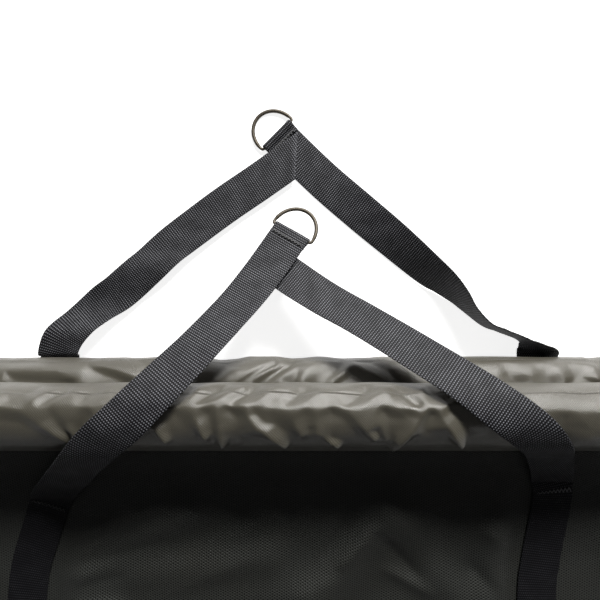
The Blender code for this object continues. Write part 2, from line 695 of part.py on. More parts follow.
def ring_path(bar, across, ahead):
    """The D: a straight bar, two tight corners and a bow."""
    half = RING_INSIDE / 2 + RING_WIRE / 2
    flat = half - RING_CORNER
    path = [bar + across * flat * share for share in (-1, -0.5, 0, 0.5, 1)]
    corner = bar + across * flat + ahead * RING_CORNER
    other = bar - across * flat + ahead * RING_CORNER
    for turn in (30, 60):
        turn = math.radians(turn)
        path.append(corner + (across * math.sin(turn) - ahead * math.cos(turn)) * RING_CORNER)
    bow = 20
    for k in range(bow + 1):
        turn = math.pi * k / bow
        path.append(bar + across * half * math.cos(turn)
                    + ahead * (RING_CORNER + (RING_DROP - RING_CORNER) * math.sin(turn)))
    for turn in (60, 30):
        turn = math.radians(turn)
        path.append(other - (across * math.sin(turn) + ahead * math.cos(turn)) * RING_CORNER)
    return path


LOOP_STITCHES = 9
BARTACK_STITCHES = 9
THREAD_LIFT = WEB_THICK / 2 + 2.6 * GAP


def make_front(half):
    """The front half: sleeve, mesh, bands and handle."""
    make_sleeve("front", -FRONT_SLEEVE_SHIFT, FRONT_SLEEVE_Z, FRONT_TAIL_TURN, math.radians(175), 0.4, half)
    mesh = Drape(front_mesh_drape())
    make_panel("front_mesh_panel", mesh, FRONT_PANEL_COLUMNS, FRONT_PANEL_ROWS, True, half)
    for side, sign in (("left", -1), ("right", 1)):
        make_binding(f"front_{side}_binding", mesh, FRONT_PANEL_ROWS, sign, half)

    hinge = Vector((0, FRONT_HINGE_Y - LEFT_STITCH_BACK / 2, FRONT_STITCH_HEIGHT + WEB_THICK))
    handle = add_pivot("front_handle_pivot", hinge, half)

    left_drape = front_drape(FRONT_LEFT_BASE_shares, FRONT_LEFT_OVER_shares, FRONT_LEFT_MERGE_share, 0.0)
    right_drape = front_drape(FRONT_RIGHT_BASE_shares, FRONT_RIGHT_OVER_shares, FRONT_RIGHT_MERGE_share, BEHIND_LEG)
    left_plan = band_line(FRONT_LEFT_BAND_shares) + plan_line(FRONT_LEFT_LEG_shares, FRONT_HINGE_Y, FRONT_REACH)
    right_plan = band_line(FRONT_RIGHT_BAND_shares) + plan_line(FRONT_RIGHT_LEG_shares, FRONT_HINGE_Y, FRONT_REACH)
    left = DrapedStrap(left_plan, left_drape)
    right = DrapedStrap(right_plan, right_drape)

    legs = []
    for side, strap, back in (("left", left, LEFT_STITCH_BACK), ("right", right, 0.0)):
        fold = strap.length_to(-PANEL_DEPTH + 2 * GAP)
        joint = strap.length_to(FRONT_HINGE_Y - back)
        skew = strap.level_skew(joint)
        band = strap.stations(fold, joint - GAP / 2, BAND_ROWS, end_skew=skew, bunch=BAND_BUNCH)
        legs.append(strap.stations(joint + GAP / 2, strap.lengths[-1], LEG_ROWS, start_skew=skew))
        add_object(f"front_{side}_band", ribbon_mesh(f"front_{side}_band", band, WEB_THICK), WEBBING, half)
        here = joint - BARTACK_BELOW
        thread = zigzag_thread(f"front_{side}_bartack", strap.seats_from(here), BARTACK_STITCHES, BARTACK_DEPTH,
                               THREAD_LIFT)
        add_object(f"front_{side}_bartack", thread, THREAD_FINISH, half)

    looped, bar, across, ahead, normal = loop_round_bar(legs[0], True)
    add_object("front_left_leg", ribbon_mesh("front_left_leg", looped, WEB_THICK), WEBBING, handle)
    here = left.lengths[-1] - LOOP_STRIP * LOOP_STITCH_share
    thread = zigzag_thread("front_loop_stitch", left.seats_from(here), LOOP_STITCHES, LOOP_STITCH_DEPTH, THREAD_LIFT)
    add_object("front_loop_stitch", thread, THREAD_FINISH, handle)
    add_object("front_right_leg", ribbon_mesh("front_right_leg", legs[1], WEB_THICK), WEBBING, handle)

    ring = add_pivot("front_ring_pivot", bar, handle)
    path = ring_path(bar, across, ahead)
    add_object("front_d_ring", wire_mesh("front_d_ring", path, normal), METAL, ring)


def make_rear():
    """The rear half, which lies on the ground: sleeve, mesh, bands and handle."""
    make_sleeve("rear", 0, REAR_SLEEVE_Z, REAR_TAIL_TURN, math.radians(40), 1.9, None)
    mesh = Drape(rear_mesh_drape())
    make_panel("rear_mesh_panel", mesh, REAR_PANEL_COLUMNS, REAR_PANEL_ROWS, False, None)
    for side, sign in (("left", -1), ("right", 1)):
        make_binding(f"rear_{side}_binding", mesh, REAR_PANEL_ROWS, sign, None)

    handle = add_pivot("rear_handle_pivot", Vector((0, REAR_HINGE_Y, REAR_HINGE_HEIGHT + WEB_THICK)))
    left_plan = band_line(REAR_LEFT_BAND_shares) + plan_line(REAR_LEFT_LEG_shares, REAR_HINGE_Y, REAR_REACH)
    left = DrapedStrap(left_plan, rear_left_drape())
    joint = left.length_to(REAR_HINGE_Y)
    skew = left.level_skew(joint)
    start = left.length_to(-PANEL_DEPTH + GAP)
    band = left.stations(start, joint - GAP / 2, BAND_ROWS, end_skew=skew, bunch=BAND_BUNCH)
    add_object("rear_left_band", ribbon_mesh("rear_left_band", band, WEB_THICK), WEBBING)
    leg = left.stations(joint + GAP / 2, left.lengths[-1], LEG_ROWS, start_skew=skew, end_skew=END_SKEW)
    add_object("rear_left_leg", ribbon_mesh("rear_left_leg", leg, WEB_THICK), WEBBING, handle)

    right = rear_right_strap()
    joint = right.length_to(len(RIGHT_BAND_ROWS_shares))
    band = right.stations(GAP, joint - BEND_ROOM / 2, ROLLED_ROWS, bunch=ROLLED_BAND_BUNCH)
    add_object("rear_right_band", ribbon_mesh("rear_right_band", band, WEB_THICK), WEBBING)
    leg = right.stations(joint + BEND_ROOM / 2, right.lengths[-1], ROLLED_ROWS)
    looped, bar, across, ahead, normal = loop_round_bar(leg, False)
    add_object("rear_right_leg", ribbon_mesh("rear_right_leg", looped, WEB_THICK), WEBBING, handle)
    middle = (looped[-2][1][0] + looped[-1][1][0]) / 2
    seat = flat_seat(middle, across, normal)
    thread = zigzag_thread("rear_loop_stitch", seat, LOOP_STITCHES, LOOP_STITCH_DEPTH, THREAD_LIFT)
    add_object("rear_loop_stitch", thread, THREAD_FINISH, handle)

    for side, sign in (("left", -1), ("right", 1)):
        place = Vector((sign * HALF_SPACING, FRONT_HINGE_Y - BARTACK_BELOW, REAR_MESH_Z))
        seat = flat_seat(place, Vector((1, 0, 0)), Vector((0, 0, 1)))
        lift = MESH_THICK / 2 + GAP
        thread = zigzag_thread(f"rear_{side}_bartack", seat, BARTACK_STITCHES, BARTACK_DEPTH, lift)
        add_object(f"rear_{side}_bartack", thread, THREAD_FINISH)

    fall = (bar.z - RING_WIRE / 2) / RING_DROP / math.hypot(ahead.z, normal.z)
    tilt = math.acos(-fall) - math.atan2(normal.z, ahead.z)
    dipped = ahead * math.cos(tilt) - normal * math.sin(tilt)
    ring = add_pivot("rear_ring_pivot", bar, handle)
    path = ring_path(bar, across, dipped)
    add_object("rear_d_ring", wire_mesh("rear_d_ring", path, across.cross(dipped)), METAL, ring)


def settle_on_origin():
    """Moves the sling along Y so that the origin lies under the middle of its outline."""
    bpy.context.view_layer.update()
    ys = []
    for made in bpy.data.objects:
        if made.type == "MESH":
            ys += [(made.matrix_world @ v.co).y for v in made.data.vertices]
    middle = (min(ys) + max(ys)) / 2
    for made in bpy.data.objects:
        if made.parent is None:
            made.matrix_world = Matrix.Translation((0, -middle, 0)) @ made.matrix_world
    bpy.context.view_layer.update()


for old in list(bpy.data.objects):
    bpy.data.objects.remove(old, do_unlink=True)

SLEEVE_CLOTH = material("sleeve_cloth", (0.13, 0.125, 0.09), 0.55)
FOAM = material("foam", (0.30, 0.30, 0.30), 0.9)
MESH_CLOTH = material("mesh_cloth", (0.022, 0.023, 0.017), 0.75)
TAPE = material("tape", (0.02, 0.02, 0.022), 0.8)
WEBBING = material("webbing", (0.022, 0.022, 0.026), 0.7)
METAL = material("antique_metal", (0.30, 0.27, 0.22), 0.35, 1.0)
THREAD_FINISH = material("thread", (0.06, 0.06, 0.06), 0.7)

front_half = add_pivot("front_half_pivot", Vector((0, -PANEL_DEPTH, FOLD_MIDDLE_Z)))
make_rear()
make_front(front_half)
turn_round_fold("belly_fold", REAR_MESH_Z, FOLD_HEIGHT, (-PANEL_EDGE, 0, PANEL_EDGE), MESH_THICK, MESH_CLOTH)
for side, sign in (("left", -1), ("right", 1)):
    middle = sign * HALF_SPACING
    turn_round_fold(f"{side}_belly_band", ON_GROUND, FOLD_HEIGHT + WEB_OVER_MESH,
                    (middle - WEB_WIDTH / 2, middle, middle + WEB_WIDTH / 2), WEB_THICK, WEBBING)
settle_on_origin()
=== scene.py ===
"""Looks of the weigh sling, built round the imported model. Metres, +Z up, in the model's own frame."""
import math

import bmesh
import bpy
import numpy as np
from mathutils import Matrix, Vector
from mathutils.geometry import delaunay_2d_cdt


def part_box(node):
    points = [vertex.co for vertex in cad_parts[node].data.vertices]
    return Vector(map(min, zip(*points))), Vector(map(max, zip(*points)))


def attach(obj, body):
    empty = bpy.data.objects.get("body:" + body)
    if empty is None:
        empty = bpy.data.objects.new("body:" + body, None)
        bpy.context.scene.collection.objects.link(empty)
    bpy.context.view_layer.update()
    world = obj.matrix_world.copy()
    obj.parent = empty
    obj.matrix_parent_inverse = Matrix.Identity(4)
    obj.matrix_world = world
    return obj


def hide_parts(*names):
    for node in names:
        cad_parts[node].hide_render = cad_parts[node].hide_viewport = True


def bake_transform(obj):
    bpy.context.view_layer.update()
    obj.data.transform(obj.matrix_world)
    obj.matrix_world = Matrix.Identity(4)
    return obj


MM = 0.001

# Sizes and shares of the part's source, which this script can't read
GAP = 0.3 * MM
SLING_LENGTH = 1160 * MM
PANEL_DEPTH = 470 * MM
BAND_SPACING = 507 * MM
SLEEVE_WIDTH = 54 * MM
SLEEVE_HEIGHT = 52.4 * MM
FRONT_SLEEVE_SHIFT = 15.6 * MM
TAIL_REACH = 26 * MM
FRONT_TAIL_TURN = math.radians(220)
REAR_TAIL_TURN = math.radians(204)
TAIL_SPREAD = math.radians(13)
END_CLOTH = 1.0 * MM
MESH_THICK = 1.2 * MM
FOLD_HEIGHT = 11 * MM
BINDING_REACH = 10 * MM
BINDING_THICK = 0.9 * MM
WEB_WIDTH = 38 * MM
WEB_THICK = 1.4 * MM
BAND_PLAY = 0.85 * MM
REAR_REACH = 240 * MM
FRONT_REACH = 149 * MM
REAR_HINGE_OUT = 21 * MM
REAR_HINGE_HEIGHT = 19 * MM
FRONT_STITCH_OUT = 46 * MM
FRONT_STITCH_HEIGHT = 34.5 * MM
FRONT_RING_HEIGHT = 27 * MM
BEHIND_LEG = 4 * MM
LEFT_STITCH_BACK = 16.2 * MM
REAR_LEFT_LEVEL = 6.3 * MM
LOOP_STRIP = 10 * MM
RING_WIRE = 3.0 * MM
RING_INSIDE = 40.3 * MM
RING_DROP = 27.2 * MM
RING_CORNER = 2.6 * MM

HALF_LENGTH = SLING_LENGTH / 2
HALF_SPACING = BAND_SPACING / 2
HALF_WIDTH = SLEEVE_WIDTH / 2
HALF_HEIGHT = SLEEVE_HEIGHT / 2
REAR_MESH_Z = WEB_THICK + GAP + MESH_THICK / 2
REAR_SLEEVE_Z = WEB_THICK + GAP + HALF_HEIGHT
SHIFT_SHARE = FRONT_SLEEVE_SHIFT / SLEEVE_WIDTH
FRONT_SLEEVE_Z = REAR_SLEEVE_Z + SLEEVE_HEIGHT * math.sqrt(1 - SHIFT_SHARE ** 2) + 2 * GAP
FRONT_EDGE = FRONT_SLEEVE_SHIFT + HALF_WIDTH
REAR_HINGE_Y = HALF_WIDTH + REAR_HINGE_OUT
FRONT_HINGE_Y = -FRONT_EDGE - FRONT_STITCH_OUT
ON_GROUND = WEB_THICK / 2
WEB_OVER_MESH = MESH_THICK / 2 + BAND_PLAY + WEB_THICK / 2
PANEL_EDGE = HALF_LENGTH - BINDING_THICK - GAP
SHELL_HALF_LENGTH = HALF_LENGTH - END_CLOTH - GAP


def numbers(text):
    """Rows of numbers from a text that divides them by commas."""
    return [tuple(float(part) for part in row.split()) for row in text.split(",")]


FALL_shares = numbers("""
0 1, 0.044 0.76, 0.0765 0.63, 0.128 0.49, 0.225 0.322, 0.346 0.209, 0.661 0.068, 1 0""")
FRONT_LEFT_BAND_shares = numbers("""
-1 -1, -1 -0.9, -1.006 -0.7, -1.018 -0.51, -1.002 -0.394, -0.947 -0.298, -0.89 -0.225""")
FRONT_RIGHT_BAND_shares = numbers("1 -1, 1 -0.9, 0.97 -0.7, 0.961 -0.447, 0.973 -0.362, 1 -0.243")
FOLD_shares = numbers("""
-0.86 -0.4 -0.4 -0.27 0.5 0.45, -0.88 -0.42 -0.1 -0.36 0.5 0.55, -0.8 -0.5 0.05 -0.44 0.35 0.6,
0.08 -0.48 0.38 -0.27 0.6 0.5, 0.22 -0.52 0.52 -0.36 -0.25 0.55, 0.45 -0.3 0.66 -0.46 0.45 0.5,
0.78 -0.6 0.82 -0.3 0.7 0.45, -0.55 -0.8 0.1 -0.66 0.4 0.8, 0.2 -0.85 0.7 -0.7 0.4 0.8,
-1.75 -0.5 -1.3 -0.3 0.5 0.7, 1.3 -0.32 1.75 -0.52 0.5 0.7, -1.9 -0.8 -1.4 -0.72 0.35 0.8,
1.35 -0.78 1.95 -0.7 0.35 0.8""")
RAMP_shares = numbers("0.179 0.83, 0.343 0.61, 0.471 0.43, 0.6 0.275, 0.779 0.125, 1 0")
FRONT_LEFT_OVER_shares = numbers("187 1, 166 0.56, 137 0.33, 101 0.3, 76 0.36, 52 0.5")
FRONT_RIGHT_OVER_shares = numbers("197 0.63, 180 0.32, 159 0.18, 134 0.18, 109 0.24, 86 0.33, 52 0.43")
FRONT_LEFT_BASE_shares = numbers("-0.27 1.12, -0.074 1.36, 0.143 1.73")
FRONT_RIGHT_BASE_shares = numbers("-0.009 1, 0.404 1.515")
FRONT_LEFT_LEG_shares = numbers("""
-0.777 0.048, -0.624 0.205, -0.484 0.346, -0.332 0.517, -0.191 0.691, -0.068 0.87, 0.012 1""")
FRONT_RIGHT_LEG_shares = numbers("""
0.99 -0.002, 0.931 0.114, 0.817 0.235, 0.656 0.381, 0.51 0.487, 0.275 0.643, 0.13 0.73, 0 0.823""")
REAR_LEFT_BAND_shares = numbers("-1 -1, -1 -0.5, -1 -0.25, -0.985 -0.1, -0.957 0, -0.92 0.056")
REAR_LEFT_LEG_shares = numbers("""
-0.872 0, -0.756 0.146, -0.667 0.234, -0.556 0.362, -0.464 0.474, -0.352 0.589, -0.245 0.693, -0.128 0.798,
0.029 0.943""")
REAR_LEFT_WAVE_shares = numbers("""
-0.2 0.75, -0.06 0.96, 0 1, 0.06 0.98, 0.125 0.8, 0.25 0.42, 0.4 0.33, 0.53 0.47, 0.66 0.6, 0.78 0.56,
0.9 0.42""")
RIGHT_BAND_ROWS_shares = numbers("""
1 -17.4 0.018 -1 0 0, 1 -11.1 0.018 -1 0 0, 1 -7 0.018 -1 0 0, 1 -4.3 0.018 -1 0 0, 1 -2.4 0.018 -1 0 0,
1 -1.2 0.018 -1 0 0, 1 -0.4 0.0185 -1 0 0, 1 0.1 0.0205 -1 0 0, 0.998 0.42 0.0315 -1 0 -0.02,
0.994 0.76 0.089 -1 0 -0.11, 0.986 1.05 0.225 -0.92 0 -0.36, 0.972 1.26 0.405 -0.62 -0.1 -0.75,
0.945 1.46 0.497 -0.06 -0.15 -0.98, 0.913 1.63 0.501 0.3 -0.16 -0.94""")
RIGHT_LEG_ROWS_shares = numbers("""
0.876 0 0.501 0.34 -0.16 -0.93, 0.825 0.026 0.5 0.33 -0.16 -0.93, 0.765 0.06 0.5 0.15 -0.12 -0.98,
0.702 0.135 0.5 -0.02 -0.12 -0.99, 0.659 0.203 0.49 -0.14 -0.3 -0.94, 0.607 0.271 0.45 -0.28 -0.46 -0.84,
0.544 0.339 0.39 -0.42 -0.57 -0.7, 0.414 0.495 0.27 -0.58 -0.62 -0.48, 0.284 0.646 0.16 -0.64 -0.7 -0.27,
0.13 0.828 0.064 -0.67 -0.74 -0.08, -0.0465 1.057 0.0195 -0.68 -0.73 0""")
STRIP_shares = numbers("0.25 0.75, 0.5 0.2, 0.66 0, 1 0")
REAR_FALL_END_share = 0.06
FRONT_LEFT_MERGE_share = 0.24
FRONT_RIGHT_MERGE_share = 0.2
LEG_ROWS = 20
ROLLED_ROWS = 28

# What only the looks need: the webbing and the rings
RIB_PITCH = 2.38 * MM
RIB_RISE = 0.22 * MM
ROW_STEP = 0.48 * MM
SELVEDGE = 0.9 * MM
SELVEDGE_ROUND = 0.92
SELVEDGE_FLAT = 0.3
SCALLOP = 0.22 * MM
SIDE_SHARES = np.array([-1, -0.985, -0.95, -0.8, -0.6, -0.4, -0.2, 0, 0.2, 0.4, 0.6, 0.8, 0.95, 0.985, 1.0])
ACROSS = SIDE_SHARES * WEB_WIDTH / 2
REAR_CUT = math.radians(-38)
CUT_RUN = 55 * MM
CORNER_ROUND = 8 * MM
TUCKED = 7 * MM
LIGHTENED_END = 10 * MM
BAR_STEPS = 22
RING_SIDES = 16
BOW_EXTRA = 0.35 * MM

# Sewn stitches: their length and gap, and for places along one its rise in thread widths and its thickness
THREAD = 0.5 * MM
STITCH_LONG = 3.0 * MM
STITCH_GAP = 0.9 * MM
STITCH_SIDES = 6
STITCH_LIFT = 0.05 * MM
STITCH_form = numbers("""
0 -0.5 0.35, 0.12 0.25 0.8, 0.3 0.5 1, 0.5 0.55 1, 0.7 0.5 1, 0.88 0.25 0.8, 1 -0.5 0.35""")

# The mesh and its bindings: finer creases as two ends in metres, rise and width in mm
MESH_STEP = 3 * MM
MESH_COLUMNS = 386
MESH_HALF = 0.32 * MESH_THICK
BINDING_STEP = 2.5 * MM
BINDING_LIP = 0.3 * MM
BINDING_HEM = 0.2 * MM
BINDING_SEAM = 2.2 * MM
BINDING_WAVE = 0.12 * MM
BINDING_WAVE_RUN = 9 * MM
CREASE_lines = numbers("""
-0.3 -0.14 -0.255 -0.092 2.6 7, -0.212 -0.15 -0.128 -0.118 3.4 7, -0.214 -0.178 -0.12 -0.15 -2.4 9,
-0.216 -0.172 -0.15 -0.132 2 6, 0.052 -0.176 0.084 -0.136 3.2 5, 0.036 -0.168 0.06 -0.128 -1.8 6,
0.094 -0.182 0.14 -0.206 3.2 7, 0.084 -0.142 0.126 -0.188 -2.2 6, 0.19 -0.14 0.222 -0.16 2.6 7,
0.176 -0.176 0.206 -0.206 -3 9, 0.208 -0.188 0.214 -0.226 3.4 6, 0.004 -0.21 0.04 -0.19 1.6 8,
-0.12 -0.205 -0.04 -0.17 1.8 10, -0.06 -0.15 -0.01 -0.128 1.2 8, -0.225 -0.219 -0.165 -0.214 7 9,
-0.225 -0.2 -0.165 -0.186 -2 7""")

# The sleeves; turns are in degrees, lengths without a unit in mm
SLEEVE_TURNS = 72
SLEEVE_ROWS = 241
SLACK_SPAN = 190 * MM
SLACK_INNER = 0.13
SLACK_OUTER = 0.03
SLACK_ROUND = 0.045
FRAMES = 24
SETTLED_SHARE = 0.45
FOLD_STEP = 4.0
TOOTH_TURN = 115
TOOTH_WIDE = 9.0
TOOTH_TIP = 4.5
HOLLOW = 2.8
FAR_FOLDS = 13
FAR_START = 278
FAR_PITCH = 22
DEEPEST = -3.2 * MM
END_EASE = 14 * MM
END_SHARE = 0.15
CROWN_rings = numbers("0.93 0.55, 0.7 0.85, 0.4 0.97")
CORE_INSIDE = 2.6 * MM
CORE_SIDES = 48
CORE_ROWS = 40
CLOTH_SETTINGS = {"quality": 6, "mass": 0.15, "tension_stiffness": 22, "compression_stiffness": 22,
                  "shear_stiffness": 9, "bending_stiffness": 0.2, "air_damping": 2.5, "use_pressure": True,
                  "uniform_pressure_force": 0.9, "vertex_group_mass": "pin", "pin_stiffness": 1.0}
FRONT_PHASE, REAR_PHASE = 0.4, 1.9
FRONT_EDGES, REAR_EDGES = (12, 178), (-30, 96)

# How far the sleeves' cloth may stand out: along the front one's ridge, on its skirt away from the handle's
# legs, which lie at these places at one turn and so much further on for each degree, and at contacts
FRONT_HIGH = 4.2 * MM
RIDGE_HIGH = 3 * MM
RIDGE_TURN = 63
RIDGE_SPREAD = 22
SKIRT_HIGH = 4.2 * MM
LEG_TURN = 20
LEG_LINES = ((-106, -0.415), (149, 0.43))
LEG_CLEAR = (36, 54)
REAR_HIGH = 3.8 * MM
FRONT_CONTACT = (0.55, 0.15 * MM)
REAR_CONTACT = (0.5, 0.1 * MM)
GROUND_CONTACT = (0.75, 0.1 * MM)

# Camera and light
CAMERA_PLACE = (0.011, 0.182765, 0.492)
CAMERA_LENS = 28.8
CAMERA_SENSOR = 36.0
KEY_PLACE = Vector((0.5, 1.95, 1.36))
KEY_AIM = Vector((0.0, 0.1, 0.05))
KEY_SIZE = (0.8, 0.45)
KEY_POWER = 86
KEY_COLOUR = (1.0, 0.99, 0.97)
SKY_STRENGTH = 0.065
GROUND_WHITE = 0.84

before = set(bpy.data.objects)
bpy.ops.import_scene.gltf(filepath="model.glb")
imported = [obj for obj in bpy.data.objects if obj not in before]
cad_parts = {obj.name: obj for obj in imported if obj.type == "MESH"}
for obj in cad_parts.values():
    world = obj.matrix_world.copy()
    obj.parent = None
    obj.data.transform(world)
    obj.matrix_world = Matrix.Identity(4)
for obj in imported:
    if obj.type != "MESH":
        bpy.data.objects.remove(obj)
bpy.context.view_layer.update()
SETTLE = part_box("belly_fold")[1].y + PANEL_DEPTH
scene = bpy.context.scene


# Curves and drapes, as in the part's source

CURVE_STEPS = 20


def curve_through(points, steps=CURVE_STEPS):
    """A smooth curve through the points, with this many steps from each point to the next."""
    points = np.array(points, float)
    ends = np.vstack((2 * points[:1] - points[1:2], points, 2 * points[-1:] - points[-2:-1]))
    t = (np.arange(steps) / steps)[:, None]
    out = []
    for a, b, c, d in zip(ends, ends[1:], ends[2:], ends[3:]):
        pull = (c - a) * t + (2 * a - 5 * b + 4 * c - d) * t ** 2 + (3 * b - a - 3 * c + d) * t ** 3
        out.append(b + pull / 2)
    out.append(points[-1:])
    return np.vstack(out)


def running_lengths(points):
    return np.concatenate(([0.0], np.cumsum(np.linalg.norm(np.diff(points, axis=0), axis=1))))


def read_at(keys, values, key):
    """Values at keys, straight between their neighbours and straight on past the ends."""
    key = np.asarray(key, float)
    i = np.clip(np.searchsorted(keys, key, side="right") - 1, 0, len(keys) - 2)
    share = (key - keys[i]) / (keys[i + 1] - keys[i])
    low, high = values[i], values[i + 1]
    if values.ndim > 1:
        share = share[..., None]
    return low + (high - low) * share


def smooth_step(low, high, value):
    t = np.clip((value - low) / (high - low), 0.0, 1.0)
    return t * t * (3 - 2 * t)


def unit(vectors):
    return vectors / np.linalg.norm(vectors, axis=-1, keepdims=True)


def heading_at(lengths, line, at, near=0.2 * MM):
    """Directions of a line at these lengths along it."""
    return unit(read_at(lengths, line, at + near) - read_at(lengths, line, at - near))


def stations(start, end):
    return np.linspace(start, end, max(int(round((end - start) / ROW_STEP)), 2) + 1)


def across_all(rows):
    """The same value for every point across the webbing."""
    return np.repeat(rows[:, None], len(ACROSS), 1)


def facing(turns):
    """Directions across the sling at these turns."""
    return np.stack((0 * turns, np.cos(turns), np.sin(turns)), axis=-1)


class Drape:
    """A cloth profile across the sling: its height and its length along the cloth."""

    def __init__(self, points):
        self.line = curve_through(points)
        self.lengths = running_lengths(self.line)
        self.ys, self.zs = self.line.T

    def length_at(self, y):
        return read_at(self.ys, self.lengths, y)

    def height_at(self, y):
        return float(read_at(self.ys, self.zs, y))

    def place(self, length):
        """Places, with x left at 0, and normals at these lengths."""
        place = read_at(self.lengths, self.line, length)
        ahead = heading_at(self.lengths, self.line, length, MM)
        flat = 0 * place[..., :1]
        return np.concatenate((flat, place), -1), np.concatenate((flat, -ahead[..., 1:], ahead[..., :1]), -1)


class DrapedStrap:
    """Webbing laid flat along a plan line, then let down on a drape."""

    def __init__(self, plan, drape):
        self.drape = drape
        self.flat = curve_through([(x, float(drape.length_at(y))) for x, y in plan])
        self.lengths = running_lengths(self.flat)

    def length_to(self, y):
        return float(read_at(self.flat[:, 1], self.lengths, self.drape.length_at(y)))

    def rows(self, start, end, cut=None):
        """Rows from start to end; a cut moves the end of the webbing by its own share at each side."""
        at = across_all(stations(start, end))
        if cut is not None:
            at = at + cut * np.clip((at - end + CUT_RUN) / CUT_RUN, 0, 1)
        middle = read_at(self.lengths, self.flat, at)
        ahead = unit(read_at(self.lengths, self.flat, at + MM) - middle)
        places, normals = self.drape.place(middle[..., 1] - ahead[..., 0] * ACROSS)
        places[..., 0] = middle[..., 0] + ahead[..., 1] * ACROSS
        return places, normals, at


class RolledStrap:
    """Webbing along a line in space; a roll is the direction across the webbing at that point."""

    def __init__(self, places, rolls):
        self.line = curve_through(places)
        self.rolls = curve_through(rolls)
        self.lengths = running_lengths(self.line)

    def length_to(self, index):
        return float(self.lengths[index * CURVE_STEPS])

    def rows(self, start, end):
        at = stations(start, end)
        ahead = heading_at(self.lengths, self.line, at, MM)
        turn = read_at(self.lengths, self.rolls, at)
        turn = unit(turn - ahead * np.sum(turn * ahead, axis=1, keepdims=True))
        places = read_at(self.lengths, self.line, at)[:, None] + turn[:, None] * ACROSS[:, None]
        return places, across_all(unit(np.cross(turn, ahead))), across_all(at)


def tail_tip(centre_y, centre_z, turn):
    reach = math.hypot(HALF_WIDTH * math.cos(turn), HALF_HEIGHT * math.sin(turn)) + TAIL_REACH
    return centre_y + reach * math.cos(turn), centre_z + reach * math.sin(turn)


FRONT_SEAM_Y, FRONT_SEAM_Z = tail_tip(-FRONT_SLEEVE_SHIFT, FRONT_SLEEVE_Z, FRONT_TAIL_TURN)
REAR_SEAM_Y, REAR_SEAM_Z = tail_tip(0, REAR_SLEEVE_Z, REAR_TAIL_TURN)


def front_mesh_drape(raised=0.0):
    seam_y = FRONT_SEAM_Y - GAP
    fall = FRONT_SEAM_Z - FOLD_HEIGHT
    return Drape([(seam_y + (-PANEL_DEPTH - seam_y) * run, FOLD_HEIGHT + fall * rise + raised)
                  for run, rise in reversed(FALL_shares)])


def rear_mesh_drape():
    seam_y = REAR_SEAM_Y - GAP
    level = seam_y + (-PANEL_DEPTH - seam_y) * REAR_FALL_END_share
    ys = (-PANEL_DEPTH, level + (-PANEL_DEPTH - level) / 2, level)
    return Drape([(y, REAR_MESH_Z) for y in ys] + [(seam_y, REAR_SEAM_Z)])


def front_drape(base_shares, over_shares, merge_share, lowered):
    """A front strap's profile: on the mesh, up to the hinge, over the sleeve and down behind it."""
    mesh = front_mesh_drape(WEB_OVER_MESH)
    steps = 16
    ys = [-PANEL_DEPTH * (1 + (merge_share - 1) * k / steps) for k in range(steps + 1)]
    points = [(y, mesh.height_at(y)) for y in ys]
    points += [(FRONT_HINGE_Y + run * FRONT_STITCH_OUT, FRONT_STITCH_HEIGHT * rise)
               for run, rise in base_shares]
    for turn, clear in over_shares:
        turn = math.radians(turn)
        points.append((HALF_WIDTH * (1 + clear) * math.cos(turn) - FRONT_SLEEVE_SHIFT,
                       HALF_HEIGHT * (1 + clear) * math.sin(turn) + FRONT_SLEEVE_Z))
    crest_y, crest_z = points[-1]
    run_down, fall = FRONT_REACH - crest_y, crest_z - FRONT_RING_HEIGHT
    return Drape(points + [(crest_y + run_down * run, FRONT_RING_HEIGHT + fall * rise - lowered)
                           for run, rise in RAMP_shares])


def rear_left_drape():
    length = REAR_REACH - REAR_HINGE_Y
    start = [(-PANEL_DEPTH, ON_GROUND), (-PANEL_DEPTH / 2, ON_GROUND), (0, ON_GROUND)]
    start += [(HALF_WIDTH * run, ON_GROUND * rise) for run, rise in ((0.4, 1.2), (0.75, 2.6), (1, 6))]
    wave = [(REAR_HINGE_Y + run * length / 2, REAR_HINGE_HEIGHT * rise)
            for run, rise in REAR_LEFT_WAVE_shares]
    level = [(REAR_HINGE_Y + length * share, REAR_LEFT_LEVEL) for share in (0.6, 0.75, 1, 1.2)]
    return Drape(start + wave + level)


def rear_right_strap():
    rows = [(x, y * HALF_WIDTH, z, roll) for x, y, z, *roll in RIGHT_BAND_ROWS_shares]
    rows[0] = (rows[0][0], -PANEL_DEPTH, *rows[0][2:])
    rows += [(x, REAR_HINGE_Y + y * (REAR_REACH - REAR_HINGE_Y), z, roll)
             for x, y, z, *roll in RIGHT_LEG_ROWS_shares]
    return RolledStrap([(x * HALF_SPACING, y, max(z * WEB_WIDTH, ON_GROUND)) for x, y, z, _ in rows],
                       [roll for *_, roll in rows])


def draped_strap(band_shares, leg_shares, hinge_y, reach, drape):
    plan = [(x * HALF_SPACING, y * PANEL_DEPTH) for x, y in band_shares]
    plan += [(x * HALF_SPACING, hinge_y + y * (reach - hinge_y)) for x, y in leg_shares]
    return DrapedStrap(plan, drape)


# Materials

